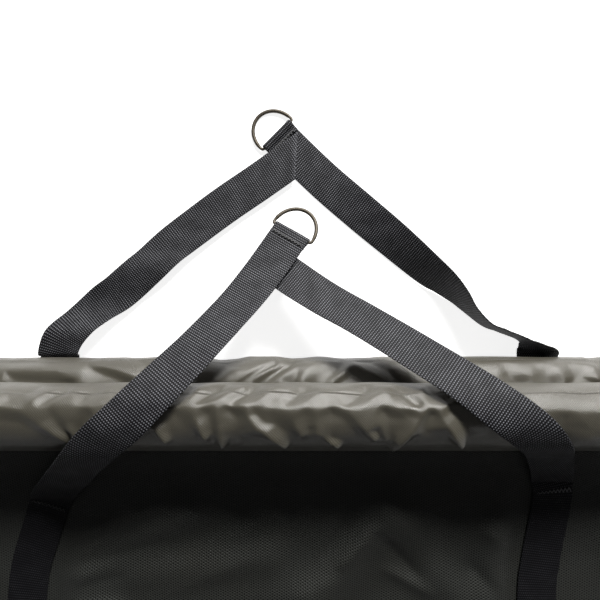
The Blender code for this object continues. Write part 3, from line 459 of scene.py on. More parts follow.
class Nodes:
    """A material's nodes, made with short calls."""

    def __init__(self, name):
        self.material = bpy.data.materials.new(name)
        self.material.use_nodes = True
        self.tree = self.material.node_tree
        self.shader = self.tree.nodes["Principled BSDF"]

    def put(self, socket, value):
        """Links a socket to another one, or sets its value; three numbers are a colour."""
        if isinstance(value, bpy.types.NodeSocket):
            self.tree.links.new(value, socket)
        else:
            socket.default_value = (*value, 1.0) if isinstance(value, tuple) else value

    def node(self, kind, *values, **named):
        made = self.tree.nodes.new(f"ShaderNode{kind}")
        for key, value in (*enumerate(values), *named.items()):
            self.put(made.inputs[key], value)
        return made

    def math(self, operation, *values):
        made = self.node("Math", *values)
        made.operation = operation
        return made.outputs[0]

    def sine(self, value):
        return self.math("SINE", value)

    def add(self, a, b):
        return self.math("ADD", a, b)

    def mul(self, a, b):
        return self.math("MULTIPLY", a, b)

    def mad(self, a, b, c):
        """a times b, plus c."""
        return self.math("MULTIPLY_ADD", a, b, c)

    def split(self, vector):
        return self.node("SeparateXYZ", vector).outputs

    def cloth(self):
        """The place on the cloth in mm and its parts: across it, along it and by what share it is lightened.
        """
        made = self.node("Attribute")
        made.attribute_name = "cloth"
        return made.outputs["Vector"], *self.split(made.outputs["Vector"])

    def object_place(self):
        return self.node("TexCoord").outputs["Object"]

    def noise(self, vector, scale, detail, roughness=0.5):
        made = self.node("TexNoise", Vector=vector, Scale=scale, Detail=detail, Roughness=roughness)
        return made.outputs[0]

    def ramp(self, value, *stops):
        made = self.node("ValToRGB", value)
        elements = made.color_ramp.elements
        while len(elements) < len(stops):
            elements.new(0.5)
        for element, (place, colour) in zip(elements, stops):
            element.position = place
            element.color = (*colour, 1.0)
        return made.outputs[0]

    def mix(self, share, a, b):
        made = self.node("Mix", share)
        made.data_type = "RGBA"
        self.put(made.inputs[6], a)
        self.put(made.inputs[7], b)
        return made.outputs[2]

    def done(self, height=None, distance=0.0, strength=1.0, **values):
        """The material, with these inputs of its shader and a bump of this height."""
        for name, value in values.items():
            self.put(self.shader.inputs[name.replace("_", " ")], value)
        if height is not None:
            bump = self.node("Bump", Strength=strength, Distance=distance, Height=height)
            self.put(self.shader.inputs["Normal"], bump.outputs[0])
        return self.material


def webbing_material():
    """Ribbed webbing: rows of small woven dots across the width; the light dots on the crests of the ribs are
    painted sheen on near black webbing.

    The bands, which lie towards -y, get painted shade for the sleeves' shadow, which makes them darker than
    the handle legs, and places given a share of lightening are lighter.
    """
    n = Nodes("webbing_weave")
    place, side, along, lightened = n.cloth()
    rows = n.math("DIVIDE", along, RIB_PITCH / MM)
    rib = n.sine(n.mul(n.math("FRACT", rows), math.pi))
    shifted = n.math("MODULO", n.math("FLOOR", rows), 2.0)
    turn = n.add(n.mul(side, math.pi), n.mul(shifted, math.pi))
    dots = n.mad(n.math("COSINE", turn), 0.5, 0.5)
    worn, fuzz = n.noise(place, 0.06, 4.0), n.noise(place, 1.7, 2.0)
    # Painted sheen: the crests of the ribs and the dots on them are made light, and the rest stays near
    # black.
    light = n.mul(n.math("POWER", rib, 3.0), n.mad(dots, 0.84, 0.16))
    light = n.mul(n.mul(light, n.mad(fuzz, 0.7, 0.62)), n.mad(worn, 0.9, 0.45))
    # Painted shade: the webbing is darker towards -y, where the bands lie in the sleeves' shadow.
    y = n.split(n.object_place())[1]
    painted_shade_to_front = n.ramp(n.mad(y, 20.0, 0.3), (0.0, (0.38, 0.38, 0.38)), (1.0, (1, 1, 1)))
    light = n.mad(n.mul(lightened, fuzz), 0.45, n.mul(light, painted_shade_to_front))
    colour = n.ramp(light, (0.0, (0.003, 0.003, 0.004)), (0.28, (0.016, 0.016, 0.019)),
                    (1.0, (0.30, 0.305, 0.335)))
    return n.done(n.mul(dots, rib), 0.25 * MM, 0.7, Base_Color=colour, Roughness=0.62,
                  Specular_IOR_Level=0.22)


def tape_material():
    """Finer ribbed tape for the bindings, with ribs of 0.9 and 0.7 mm along it and across it."""
    n = Nodes("tape_weave")
    place, side, along, _ = n.cloth()
    ribs = n.mul(n.sine(n.mul(along, math.pi / 0.9)), n.sine(n.mul(side, math.pi / 0.7)))
    light = n.mul(n.mad(ribs, 0.35, 0.4), n.noise(place, 0.5, 3.0))
    colour = n.ramp(light, (0.0, (0.008, 0.008, 0.009)), (0.6, (0.05, 0.05, 0.053)))
    return n.done(light, 0.2 * MM, 0.5, Base_Color=colour, Roughness=0.75, Specular_IOR_Level=0.3)


def mesh_material():
    """Fine knit: threads round small holes that lie in a honeycomb; the holes are painted near black, as
    painted shade for what is seen through them.
    """
    n = Nodes("mesh_knit")
    place, side, along, _ = n.cloth()
    pitch = 2.65
    waves = []
    for turn in (0, 60, 120):
        turn = math.radians(turn)
        across = n.add(n.mul(side, math.cos(turn)), n.mul(along, math.sin(turn)))
        waves.append(n.math("COSINE", n.mul(across, 2 * math.pi / pitch / math.cos(math.radians(30)))))
    hole = n.mad(n.add(n.add(waves[0], waves[1]), waves[2]), 1 / 4.5, 1 / 3)
    hole = n.ramp(hole, (0.30, (0, 0, 0)), (0.62, (1, 1, 1)))
    thread = n.mix(n.noise(place, 0.012, 3.0), (0.027, 0.027, 0.022), (0.046, 0.050, 0.047))
    thread = n.mix(n.mul(n.noise(place, 1.1, 2.0), 0.45), thread, (0.009, 0.009, 0.007))
    # Painted shade: the holes are near black, for the shade seen through the knit.
    return n.done(n.math("SUBTRACT", 1.0, hole), 0.5 * MM, 0.6,
                  Base_Color=n.mix(hole, thread, (0.003, 0.003, 0.0025)), Roughness=0.5,
                  Specular_IOR_Level=0.4, Sheen_Weight=0.08, Sheen_Roughness=0.4)


def sleeve_material():
    """Nylon with a fine plain weave and a satin sheen."""
    n = Nodes("sleeve_nylon")
    place, side, along, _ = n.cloth()
    pitch = 1.9
    drift = n.mul(n.noise(place, 0.07, 2.0), 7.0)
    warp, weft = (n.sine(n.mad(way, 2 * math.pi / pitch, drift)) for way in (side, along))
    slub = n.noise(place, 0.8, 3.0, 0.65)
    weave = n.mad(n.mul(warp, weft), 0.5, n.mul(slub, 1.5))
    colour = n.mix(n.noise(n.object_place(), 14.0, 4.0, 0.6), (0.096, 0.086, 0.061), (0.137, 0.128, 0.098))
    colour = n.mix(n.mul(weave, 0.62), (0.030, 0.027, 0.020), colour)
    return n.done(weave, 0.2 * MM, 0.9, Base_Color=colour, Roughness=0.37, Specular_IOR_Level=1.0,
                  Sheen_Weight=0.12, Sheen_Roughness=0.45)


def foam_material():
    n = Nodes("foam_cells")
    cells = n.noise(n.object_place(), 600.0, 2.0)
    colour = n.mix(cells, (0.22, 0.22, 0.22), (0.34, 0.34, 0.34))
    return n.done(cells, 0.4 * MM, Base_Color=colour, Roughness=0.9)


def metal_material():
    """Antique plated wire: brownish, darker where the plating is dull."""
    n = Nodes("antique_wire")
    dull = n.noise(n.object_place(), 160.0, 4.0, 0.6)
    fine = n.noise(n.object_place(), 1500.0, 2.0)
    return n.done(fine, 0.03 * MM, 0.4, Base_Color=n.mix(dull, (0.045, 0.039, 0.030), (0.15, 0.132, 0.108)),
                  Metallic=0.6, Roughness=n.mad(dull, 0.2, 0.38), Specular_Tint=(0.20, 0.18, 0.15))


def thread_material(name, colour):
    n = Nodes(name)
    _, side, along, _ = n.cloth()
    twist = n.sine(n.mul(n.add(side, along), 2 * math.pi / (THREAD / MM)))
    twisted = n.mix(n.mad(twist, 0.3, 0.5), tuple(c * 0.55 for c in colour), colour)
    return n.done(twist, 0.08 * MM, 0.6, Base_Color=twisted, Roughness=0.6)


def floor_material():
    """A white ground that the camera sees bright, with a faint shadow of the sling."""
    n = Nodes("ground")
    path = n.node("LightPath").outputs
    seen = n.math("MAXIMUM", path["Is Camera Ray"], path["Is Glossy Ray"])
    return n.done(Base_Color=(0.82, 0.82, 0.82), Roughness=0.9, Emission_Color=(1.0, 1.0, 1.0),
                  Emission_Strength=n.mul(seen, GROUND_WHITE))


# Mesh building

def add_piece(name, points, faces, finish, cloth=None):
    """A piece from points and faces of one kind; cloth gives each point's place on the cloth, in metres."""
    mesh = bpy.data.meshes.new(name)
    points = np.asarray(points, float).reshape(-1, 3).copy()
    points[:, 1] += SETTLE
    faces = np.asarray(faces, np.int32)
    mesh.vertices.add(len(points))
    mesh.vertices.foreach_set("co", points.astype(np.float32).ravel())
    mesh.loops.add(faces.size)
    mesh.loops.foreach_set("vertex_index", faces.ravel())
    mesh.polygons.add(len(faces))
    mesh.polygons.foreach_set("loop_start", np.arange(0, faces.size, faces.shape[1], dtype=np.int32))
    mesh.update(calc_edges=True)
    mesh.validate()
    if cloth is not None:
        attribute = mesh.attributes.new("cloth", "FLOAT_VECTOR", "POINT")
        flat = np.zeros((len(points), 3), np.float32)
        cloth = np.asarray(cloth, float).reshape(len(points), -1)
        flat[:, :cloth.shape[1]] = cloth / MM
        attribute.data.foreach_set("vector", flat.ravel())
    mesh.shade_smooth()
    mesh.materials.append(finish)
    made = bpy.data.objects.new(name, mesh)
    scene.collection.objects.link(made)
    return made


def change_mesh(piece, change):
    """Lets a function add faces to a piece's mesh, then turns all its faces outward."""
    bm = bmesh.new()
    bm.from_mesh(piece.data)
    change(bm, list(bm.verts))
    bmesh.ops.recalc_face_normals(bm, faces=bm.faces[:])
    bm.to_mesh(piece.data)
    bm.free()
    piece.data.shade_smooth()


def tube_faces(rows, count, closed_rows=False):
    """Quads of a tube of rings; ends stay open unless the rows join up."""
    row = np.arange(rows if closed_rows else rows - 1)[:, None]
    a, b = row * count, (row + 1) % rows * count
    j = np.arange(count)
    k = (j + 1) % count
    return np.stack((a + j, a + k, b + k, b + j), axis=-1).reshape(-1, 4)


def cap_faces(first, count):
    """Quads that close a ring of an even count of points as a flat strip."""
    j = np.arange(count // 2 - 1)[:, None]
    return first + np.hstack((j, j + 1, count - 2 - j, count - 1 - j))


def closed_tube(rows, count, first=0):
    """Quads of a tube of rings that is closed at both ends."""
    last = first + (rows - 1) * count
    caps = cap_faces(first, count)[:, ::-1], cap_faces(last, count)
    return np.vstack((tube_faces(rows, count) + first, *caps))


def round_rings(middle, out, up, radius, sides):
    """Rings of points round these places, and their turns."""
    turns = 2 * math.pi * np.arange(sides) / sides
    ways = out[:, None] * np.cos(turns)[:, None] + up[:, None] * np.sin(turns)[:, None]
    return middle[:, None] + ways * radius[:, None, None], turns


def webbing_piece(name, places, normals, along, lightened=0.0):
    """A closed strap round rows of middle places: ribs across it, thinner rounded edges, small scallops.

    A share from 0 to 1 makes the webbing lighter where it is given.
    """
    rib = np.abs(np.sin(math.pi * along / RIB_PITCH))
    selvedge = 2 * SELVEDGE / WEB_WIDTH
    edge = np.clip((np.abs(SIDE_SHARES) - (1 - selvedge)) / selvedge, 0, 1)
    thin = np.sqrt(np.clip(1 - edge ** 2 * SELVEDGE_ROUND, 0, 1))
    rise = (WEB_THICK / 2 - RIB_RISE) * thin + RIB_RISE * rib * (1 - SELVEDGE_FLAT * edge)
    across = unit(places[:, -1] - places[:, 0])
    middle = places + across[:, None] * ((rib - 0.5) * SCALLOP * edge * np.sign(SIDE_SHARES))[..., None]
    up = normals * rise[..., None]
    ring = np.concatenate((middle + up, (middle - up)[:, ::-1]), axis=1)
    cloth = np.stack(np.broadcast_arrays(ACROSS, along, lightened * MM), axis=-1)
    cloth = np.concatenate((cloth, cloth[:, ::-1]), axis=1)
    return add_piece(name, ring, closed_tube(*ring.shape[:2]), WEBBING, cloth)


def loop_round_bar(places, normals, along, under, back):
    """Carries a strap round the D-ring's bar and back on itself, led by its last stretch of this length.

    Gives the strap, the bar's middle and the bar's frame.
    """
    mid = places.shape[1] // 2
    ahead = unit(places[-1, mid] - places[-1 - int(back / ROW_STEP), mid])
    across = unit(places[-1, -1] - places[-1, 0])
    ahead = unit(ahead - across * np.dot(ahead, across))
    normal = unit(np.cross(across, ahead))
    if normal[2] < 0:
        normal = -normal
    lift = normal * (-1 if under else 1)
    radius = RING_WIRE / 2 + GAP + WEB_THICK / 2
    lie = WEB_THICK + GAP * 3 / 2
    path = [(radius * math.sin(t), radius * (1 - math.cos(t))) for t in np.linspace(0, math.pi, BAR_STEPS)]
    strip = [(-LOOP_STRIP * run, lie + (2 * radius - lie) * rise) for run, rise in STRIP_shares]
    path = np.vstack((path, curve_through([path[-1]] + strip, 6)[1:]))
    lengths = running_lengths(path)
    at = np.linspace(0, lengths[-1], int(lengths[-1] / ROW_STEP) + 1)[1:]
    line = read_at(lengths, path, at)[:, :, None, None]
    step = heading_at(lengths, path, at)
    more = places[-1] + ahead * line[:, 0] + lift * line[:, 1]
    turned = across_all(normal * step[:, :1] - ahead * step[:, 1:] * (-1 if under else 1))
    strap = (np.concatenate((places, more)), np.concatenate((normals, turned)),
             np.concatenate((along, along[-1:] + at[:, None])))
    return strap, (places[-1, mid] + lift * radius, across, ahead, normal)


def stitch_row(name, places, normals):
    """A row of sewn stitches along a line, each one short and sunk at its ends."""
    lengths = running_lengths(places)
    count = int(lengths[-1] / (STITCH_LONG + STITCH_GAP))
    starts = (np.arange(count) + 0.5) * lengths[-1] / count - STITCH_LONG / 2
    shares, rise, wide = np.array(STITCH_form).T
    at = (starts[:, None] + shares * STITCH_LONG).ravel()
    run = heading_at(lengths, places, at)
    out = unit(np.cross(run, unit(read_at(lengths, normals, at))))
    up = np.cross(out, run)
    middle = read_at(lengths, places, at) + up * np.tile(rise * THREAD, count)[:, None]
    points, _ = round_rings(middle, out, up, np.tile(wide * THREAD / 2, count), STITCH_SIDES)
    size = len(shares) * STITCH_SIDES
    faces = np.vstack([closed_tube(len(shares), STITCH_SIDES, s * size) for s in range(count)])
    cloth = np.stack(np.broadcast_arrays(np.arange(STITCH_SIDES) * THREAD / 4, at[:, None]), axis=-1)
    return add_piece(name, points, faces, DARK_THREAD, cloth)


WEBBING = webbing_material()
TAPE = tape_material()
MESH_CLOTH = mesh_material()
SLEEVE_CLOTH = sleeve_material()
FOAM = foam_material()
METAL = metal_material()
DARK_THREAD = thread_material("thread_dark", (0.05, 0.05, 0.052))
LIGHT_THREAD = thread_material("thread_light", (0.20, 0.20, 0.21))


# Straps

def hinged_strap(half, side, strap, hinge_z, lightened=0.0):
    """A band and its handle leg as one strap in one piece, in its place at rest; it takes the place of the
    model's band and leg.
    """
    piece = webbing_piece(f"{half}_{side}_strap", *strap, lightened)
    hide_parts(f"{half}_{side}_band", f"{half}_{side}_leg")
    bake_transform(piece)


def make_front_straps():
    """The bands on the front mesh and the legs of the front handle. Gives the ring's bar."""
    drape = front_drape(FRONT_LEFT_BASE_shares, FRONT_LEFT_OVER_shares, FRONT_LEFT_MERGE_share, 0.0)
    left = draped_strap(FRONT_LEFT_BAND_shares, FRONT_LEFT_LEG_shares, FRONT_HINGE_Y, FRONT_REACH, drape)
    joint_y = FRONT_HINGE_Y - LEFT_STITCH_BACK
    leg = left.lengths[-1] - left.length_to(joint_y)
    strap = left.rows(left.length_to(-PANEL_DEPTH + 2 * GAP), left.lengths[-1])
    strap, bar = loop_round_bar(*strap, True, leg / LEG_ROWS)
    hinged_strap("front", "left", strap, drape.height_at(joint_y))

    drape = front_drape(FRONT_RIGHT_BASE_shares, FRONT_RIGHT_OVER_shares, FRONT_RIGHT_MERGE_share, BEHIND_LEG)
    right = draped_strap(FRONT_RIGHT_BAND_shares, FRONT_RIGHT_LEG_shares, FRONT_HINGE_Y, FRONT_REACH, drape)
    worn = np.clip((-ACROSS - WEB_WIDTH / 2 + CORNER_ROUND) / CORNER_ROUND, 0, 1)
    cut = -CORNER_ROUND * (1 - np.sqrt(1 - worn ** 2))
    strap = right.rows(right.length_to(-PANEL_DEPTH + 2 * GAP), right.lengths[-1] + TUCKED, cut)
    height = drape.height_at(FRONT_HINGE_Y)
    hinged_strap("front", "right", strap, height)
    return bar


def make_rear_straps():
    """The bands under the rear mesh and the legs of the rear handle. Gives the ring's bar."""
    drape = rear_left_drape()
    left = draped_strap(REAR_LEFT_BAND_shares, REAR_LEFT_LEG_shares, REAR_HINGE_Y, REAR_REACH, drape)
    strap = left.rows(left.length_to(-PANEL_DEPTH + GAP), left.lengths[-1], ACROSS * math.tan(REAR_CUT))
    # The rear left leg gets lighter towards its cut end, over a run that is longer at one side of the
    # webbing.
    to_end = np.max(strap[2], axis=0) - strap[2]
    wide = LIGHTENED_END * (0.45 + 0.55 * smooth_step(1, -1, SIDE_SHARES))
    lightened = smooth_step(1, 0, to_end / wide)
    hinged_strap("rear", "left", strap, REAR_HINGE_HEIGHT, lightened=lightened)

    right = rear_right_strap()
    leg = right.lengths[-1] - right.length_to(len(RIGHT_BAND_ROWS_shares))
    strap, bar = loop_round_bar(*right.rows(GAP, right.lengths[-1]), False, leg / ROLLED_ROWS)
    hinged_strap("rear", "right", strap, REAR_HINGE_HEIGHT)
    return bar


def belly_blend(piece):
    """Bakes the piece's place into its points."""
    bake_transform(piece)


def make_belly_straps():
    """The bands where they turn round the fold."""
    low, high = ON_GROUND, FOLD_HEIGHT + WEB_OVER_MESH
    radius = (high - low) / 2
    turns = -math.pi / 2 - np.linspace(0, math.pi, int(math.pi * radius / ROW_STEP) + 1)
    normal = facing(turns)
    for side, sign in (("left", -1), ("right", 1)):
        middle = np.array((sign * HALF_SPACING, -PANEL_DEPTH, low + radius)) + normal * radius
        rows = middle[:, None] + ACROSS[:, None] * np.array((1.0, 0, 0))
        along = across_all(-(turns + math.pi / 2) * radius)
        piece = webbing_piece(f"{side}_belly_strap", rows, across_all(normal), along)
        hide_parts(f"{side}_belly_band")
        belly_blend(piece)


# D-rings

def ring_path(bar, across, ahead):
    """The D's middle line: its bar, a small corner, its bow and the other corner."""
    half = RING_INSIDE / 2 + RING_WIRE / 2
    flat = half - RING_CORNER
    corner = [(flat + math.sin(t) * RING_CORNER, RING_CORNER - math.cos(t) * RING_CORNER)
              for t in np.radians((15, 30, 45, 60, 75))]
    path = [(flat * share, 0) for share in np.linspace(-1, 1, 9)] + corner
    path += [(half * math.cos(t), RING_CORNER + (RING_DROP - RING_CORNER) * math.sin(t))
             for t in np.linspace(0, math.pi, 61)]
    path = np.array(path + [(-x, y) for x, y in corner[::-1]])
    return bar + across * path[:, :1] + ahead * path[:, 1:]


def make_ring(name, bar, across, ahead, normal):
    """A D-ring of wire on its bar; the rear one hangs down to the ground."""
    if name == "rear":
        fall = (bar[2] - RING_WIRE / 2 - BOW_EXTRA) / RING_DROP / math.hypot(ahead[2], normal[2])
        tilt = math.acos(-fall) - math.atan2(normal[2], ahead[2])
        ahead = ahead * math.cos(tilt) - normal * math.sin(tilt)
    path = ring_path(bar, across, ahead)
    up = np.broadcast_to(unit(np.cross(across, ahead)), path.shape)
    out = unit(np.cross(np.roll(path, -1, axis=0) - np.roll(path, 1, axis=0), up))
    bow = smooth_step(1.5 * RING_CORNER, 3 * RING_CORNER, (path - bar) @ ahead)
    ring, turns = round_rings(path, out, up, RING_WIRE / 2 + BOW_EXTRA * bow, RING_SIDES)
    cloth = np.stack(np.broadcast_arrays(turns * RING_WIRE / 2, running_lengths(path)[:, None]), axis=-1)
    faces = tube_faces(*ring.shape[:2], True)
    piece = add_piece(f"{name}_wire_ring", ring, faces, METAL, cloth)
    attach(piece, f"{name}_ring")
    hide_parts(f"{name}_d_ring")


# Mesh cloth

def from_line(x, y, start, end):
    """Where these places lie along a line, as a share of it, and how far from it."""
    run = end - start
    t = ((x - start[0]) * run[0] + (y - start[1]) * run[1]) / np.dot(run, run)
    held = np.clip(t, 0, 1)
    return t, np.hypot(x - start[0] - run[0] * held, y - start[1] - run[1] * held)


def from_band(shares, x, y):
    table = np.array(shares)
    return np.abs(x - read_at(table[:, 1] * PANEL_DEPTH, table[:, 0] * HALF_SPACING, y))


def fold_height(x, y):
    """The folds of the front mesh: the model's own and finer ones between them."""
    height = np.zeros_like(x)
    for *ends, rise, width in FOLD_shares:
        _, apart = from_line(x, y, *np.reshape(ends, (2, 2)) * (HALF_SPACING, PANEL_DEPTH))
        height += rise * FOLD_HEIGHT * np.exp(-(apart / (width * WEB_WIDTH)) ** 2)
    for *ends, rise, width in CREASE_lines:
        t, apart = from_line(x, y, *np.reshape(ends, (2, 2)))
        crease = np.exp(-(apart / (width * MM)) ** 1.5)
        height += rise * MM * crease * smooth_step(-0.3, 0.3, t) * smooth_step(1.3, 0.7, t)
    wave = 0.45 * np.sin(x / 0.021 + 3 * np.sin(y / 0.05)) * np.sin(y / 0.027 + 2 * np.sin(x / 0.07))
    height += wave * MM
    apart = np.minimum(from_band(FRONT_LEFT_BAND_shares, x, y), from_band(FRONT_RIGHT_BAND_shares, x, y))
    calm = smooth_step(WEB_WIDTH * 0.62, WEB_WIDTH * 1.5, apart)
    calm *= smooth_step(0, WEB_WIDTH, PANEL_DEPTH + y) * smooth_step(0, WEB_WIDTH * 1.5, FRONT_SEAM_Y - y)
    return height * calm * smooth_step(BINDING_REACH, BINDING_REACH * 4, HALF_LENGTH - np.abs(x))


def mesh_profile(step):
    """Places, normals and lengths along the cloth from the front seam round the fold to the rear seam."""
    front, rear = front_mesh_drape(), rear_mesh_drape()
    start, low = float(front.length_at(-PANEL_DEPTH)), float(rear.length_at(-PANEL_DEPTH))
    at = np.linspace(front.lengths[-1], start, int((front.lengths[-1] - start) / step) + 1)
    front_line, front_normal = front.place(at)
    radius = (FOLD_HEIGHT - REAR_MESH_Z) / 2
    fold_normal = facing(math.pi / 2 + np.linspace(0, math.pi, 15)[1:-1])
    fold = np.array((0.0, -PANEL_DEPTH, REAR_MESH_Z + radius)) + fold_normal * radius
    at = np.linspace(low, rear.lengths[-1], int((rear.lengths[-1] - low) / (step * 2)) + 1)
    rear_line, rear_normal = rear.place(at)
    line = np.vstack((front_line, fold, rear_line))
    return line, np.vstack((front_normal, fold_normal, -rear_normal)), running_lengths(line), len(front_line)


def make_mesh_cloth():
    """The mesh from seam to seam as one cloth. Gives it and its flat size."""
    line, normals, lengths, front_rows = mesh_profile(MESH_STEP)
    grid_x, row = np.meshgrid(np.linspace(-PANEL_EDGE, PANEL_EDGE, MESH_COLUMNS + 1), np.arange(len(line)))
    rise = np.where(row < front_rows, fold_height(grid_x, line[row, 1]), 0.0)
    middle = line[row] + normals[row] * rise[..., None]
    middle[..., 0] += grid_x
    out = unit(np.cross(np.gradient(middle, axis=0), np.gradient(middle, axis=1)))
    out *= np.sign(np.sum(out * normals[row], axis=-1, keepdims=True)) * MESH_HALF
    under = grid_x.size
    index = np.arange(under).reshape(grid_x.shape)
    quads = np.stack((index[:-1, :-1], index[1:, :-1], index[1:, 1:], index[:-1, 1:]), -1).reshape(-1, 4)
    rim = np.concatenate((index[0, :], index[1:, -1], index[-1, -2::-1], index[-2:0:-1, 0]))
    after = np.roll(rim, -1)
    wall = np.stack((rim, after, after + under, rim + under), -1)
    faces = np.vstack((quads, quads[:, ::-1] + under, wall))
    cloth = np.stack((grid_x, lengths[row]), -1)
    piece = add_piece("mesh_cloth", (middle + out, middle - out), faces, MESH_CLOTH, (cloth, cloth))
    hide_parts("front_mesh_panel", "rear_mesh_panel", "belly_fold")
    belly_blend(piece)
    return piece, (2 * PANEL_EDGE, float(lengths[-1]))


def make_bindings():
    """Tape folded over the mesh's side edges, one piece from seam to seam, and its stitches."""
    line, normals, lengths, _ = mesh_profile(BINDING_STEP)
    inner, outer = MESH_THICK / 2 + GAP, MESH_THICK / 2 + GAP + BINDING_THICK
    mouth, bend = HALF_LENGTH - BINDING_REACH, HALF_LENGTH - outer
    lip = (inner + outer) / 2 + BINDING_HEM
    outer_arc, inner_arc = ([(bend + size * math.cos(t), size * math.sin(t))
                             for t in np.linspace(math.pi / 2, -math.pi / 2, 9)] for size in (outer, inner))
    outline = [(mouth, lip), (mouth + BINDING_LIP, outer)]
    outline += [(mouth + (bend - mouth) * share, outer) for share in (0.3, 0.65)] + outer_arc
    outline += [(mouth + BINDING_LIP, -outer), (mouth, -lip), (mouth + BINDING_HEM, -inner)]
    outline = np.array(outline + inner_arc[::-1] + [(mouth + BINDING_HEM, inner)])
    wavy = BINDING_WAVE * np.sin(lengths / BINDING_WAVE_RUN)
    reach = outline[:, 0] + wavy[:, None] * (outline[:, 0] < mouth + MM)
    rings = line[:, None] + normals[:, None] * outline[:, 1:]
    cloth = np.stack(np.broadcast_arrays(running_lengths(outline), lengths[:, None]), -1)
    count = len(outline)

    def close(bm, verts):
        for ring in (verts[:count][::-1], verts[-count:]):
            bmesh.ops.triangulate(bm, faces=[bm.faces.new(ring)])

    made = []
    for side, sign in (("left", -1), ("right", 1)):
        rings[..., 0] = reach * sign
        piece = add_piece(f"{side}_binding", rings, tube_faces(len(line), count), TAPE, cloth)
        change_mesh(piece, close)
        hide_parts(f"front_{side}_binding", f"rear_{side}_binding")
        belly_blend(piece)
        seam = normals * (outer + STITCH_LIFT) + line + np.array((sign * (mouth + BINDING_SEAM), 0, 0))
        thread = stitch_row(f"{side}_binding_stitches", seam, normals)
        belly_blend(thread)
        made += [piece, thread]
    return made


# Sleeves

def fold_lines(text):
    """Fold lines from a text that divides them by semicolons.

    Each has points of mm along the sleeve, degrees round it and tenths of a mm of rise. The cloth lies nearly
    flat between them.
    """
    return [[(x, turn, rise / 10) for x, turn, rise in numbers(line)] for line in text.split(";")]


FRONT_FOLDS = fold_lines("""
-262 62 34, -232 63 34, -214 70 34, -196 64 30, -176 62 34, -160 64 36, -140 60 35, -124 64 38, -104 68 32,
-86 66 26, -72 64 38, -56 62 30, -44 64 22, -34 61 46, -20 66 34, -4 68 32, 12 67 36, 28 66 34, 44 66 30,
60 67 36, 76 66 24, 92 67 36, 112 69 46, 122 67 44, 134 62 28, 146 60 48, 160 66 32, 176 70 38, 196 68 36,
216 72 36, 240 74 34, 262 72 34; -214 71 32, -200 92 16, -184 118 34, -180 132 38, -178 146 -16; -186 68 26,
-176 92 6, -172 128 32; -240 86 -12, -214 92 -22, -198 118 -32; -188 84 -8, -182 104 -18; -160 76 -4,
-168 100 -30, -166 126 -32; -158 68 32, -150 96 8, -146 124 20; -136 76 -6, -132 96 -28, -128 126 -32;
-122 68 36, -112 86 16, -104 108 36, -98 128 70, -97 140 -18; -110 74 4, -112 98 -6; -104 76 2, -96 94 -18;
-90 74 -8, -84 96 -32, -82 126 -32; -78 68 32, -73 86 14, -69 106 36, -65 124 70, -64 134 -14; -64 76 -14,
-61 96 -30, -60 114 -30; -56 68 28, -55 92 6, -54 122 34, -53 146 64, -53 158 -16; -46 69 -16, -41 84 -32,
-40 122 -32; -34 62 46, -31 78 30, -27 92 38, -18 108 46, -8 126 60, -1 142 74, 2 156 -14; -24 76 2,
-18 92 -6; -12 80 0, -6 100 -30, 2 118 -32; 2 70 32, 6 88 10, 10 106 22, 12 120 34, 13 134 -22; 16 76 4,
17 96 -12, 17 116 4; 25 70 32, 25 90 12, 25 112 30, 25 128 -20; 36 70 -14, 38 84 -30, 35 122 -32; 30 118 4,
37 132 38, 43 145 66, 45 156 -14; 49 70 30, 57 88 18, 65 108 38, 72 124 54, 76 138 -18; 46 84 -18,
54 108 -30, 62 132 -32; 79 70 -18, 82 84 -32, 84 114 -32; 68 74 24, 76 96 12, 82 132 10; 113 70 46,
108 84 30, 102 102 40, 95 126 60, 88 154 70, 86 166 -10; 98 78 2, 93 104 -16, 88 126 10; 117 78 -16,
114 92 -30, 110 132 -32; 121 68 42, 126 84 24, 132 102 40, 139 126 64, 145 146 72, 147 158 -12; 134 68 -18,
140 80 -32, 147 112 -32; 146 61 46, 152 74 32, 158 92 44, 161 104 10; 172 78 10, 166 100 -18, 164 120 -26;
186 78 -6, 180 96 -30, 178 122 -32; 200 76 28, 204 94 8, 206 116 24; 224 86 -6, 222 120 -28; 248 80 22,
246 98 8, 246 118 20; -226 56 6, -214 36 -8; -206 54 36, -192 30 16; -198 56 8, -184 36 -8; -186 58 34,
-174 30 14; -166 54 4, -160 30 -12; -150 54 30, -148 30 10; -130 54 4, -122 34 -14; -118 60 36, -98 32 24;
-96 56 6, -82 34 -16; -82 60 32, -74 32 18; -70 52 2, -58 32 -22; -62 60 34, -36 26 30; -44 56 0,
-32 36 -26; -26 60 40, -6 28 32; -12 52 16, 2 34 24; 2 54 -2, 14 30 -26; 16 58 26, 30 30 22; 34 58 14,
44 34 14; 50 60 0, 66 30 -26; 66 60 34, 84 30 28; 94 34 -14, 106 60 -6; 100 30 4, 112 46 24; 112 52 26,
114 30 24; 120 34 -14, 130 54 -10; 136 32 20, 146 54 42; 152 32 -6, 158 56 2; 170 34 22, 178 60 34;
192 36 2, 198 58 20; 216 36 18, 224 62 30; 244 38 4, 250 62 22""")
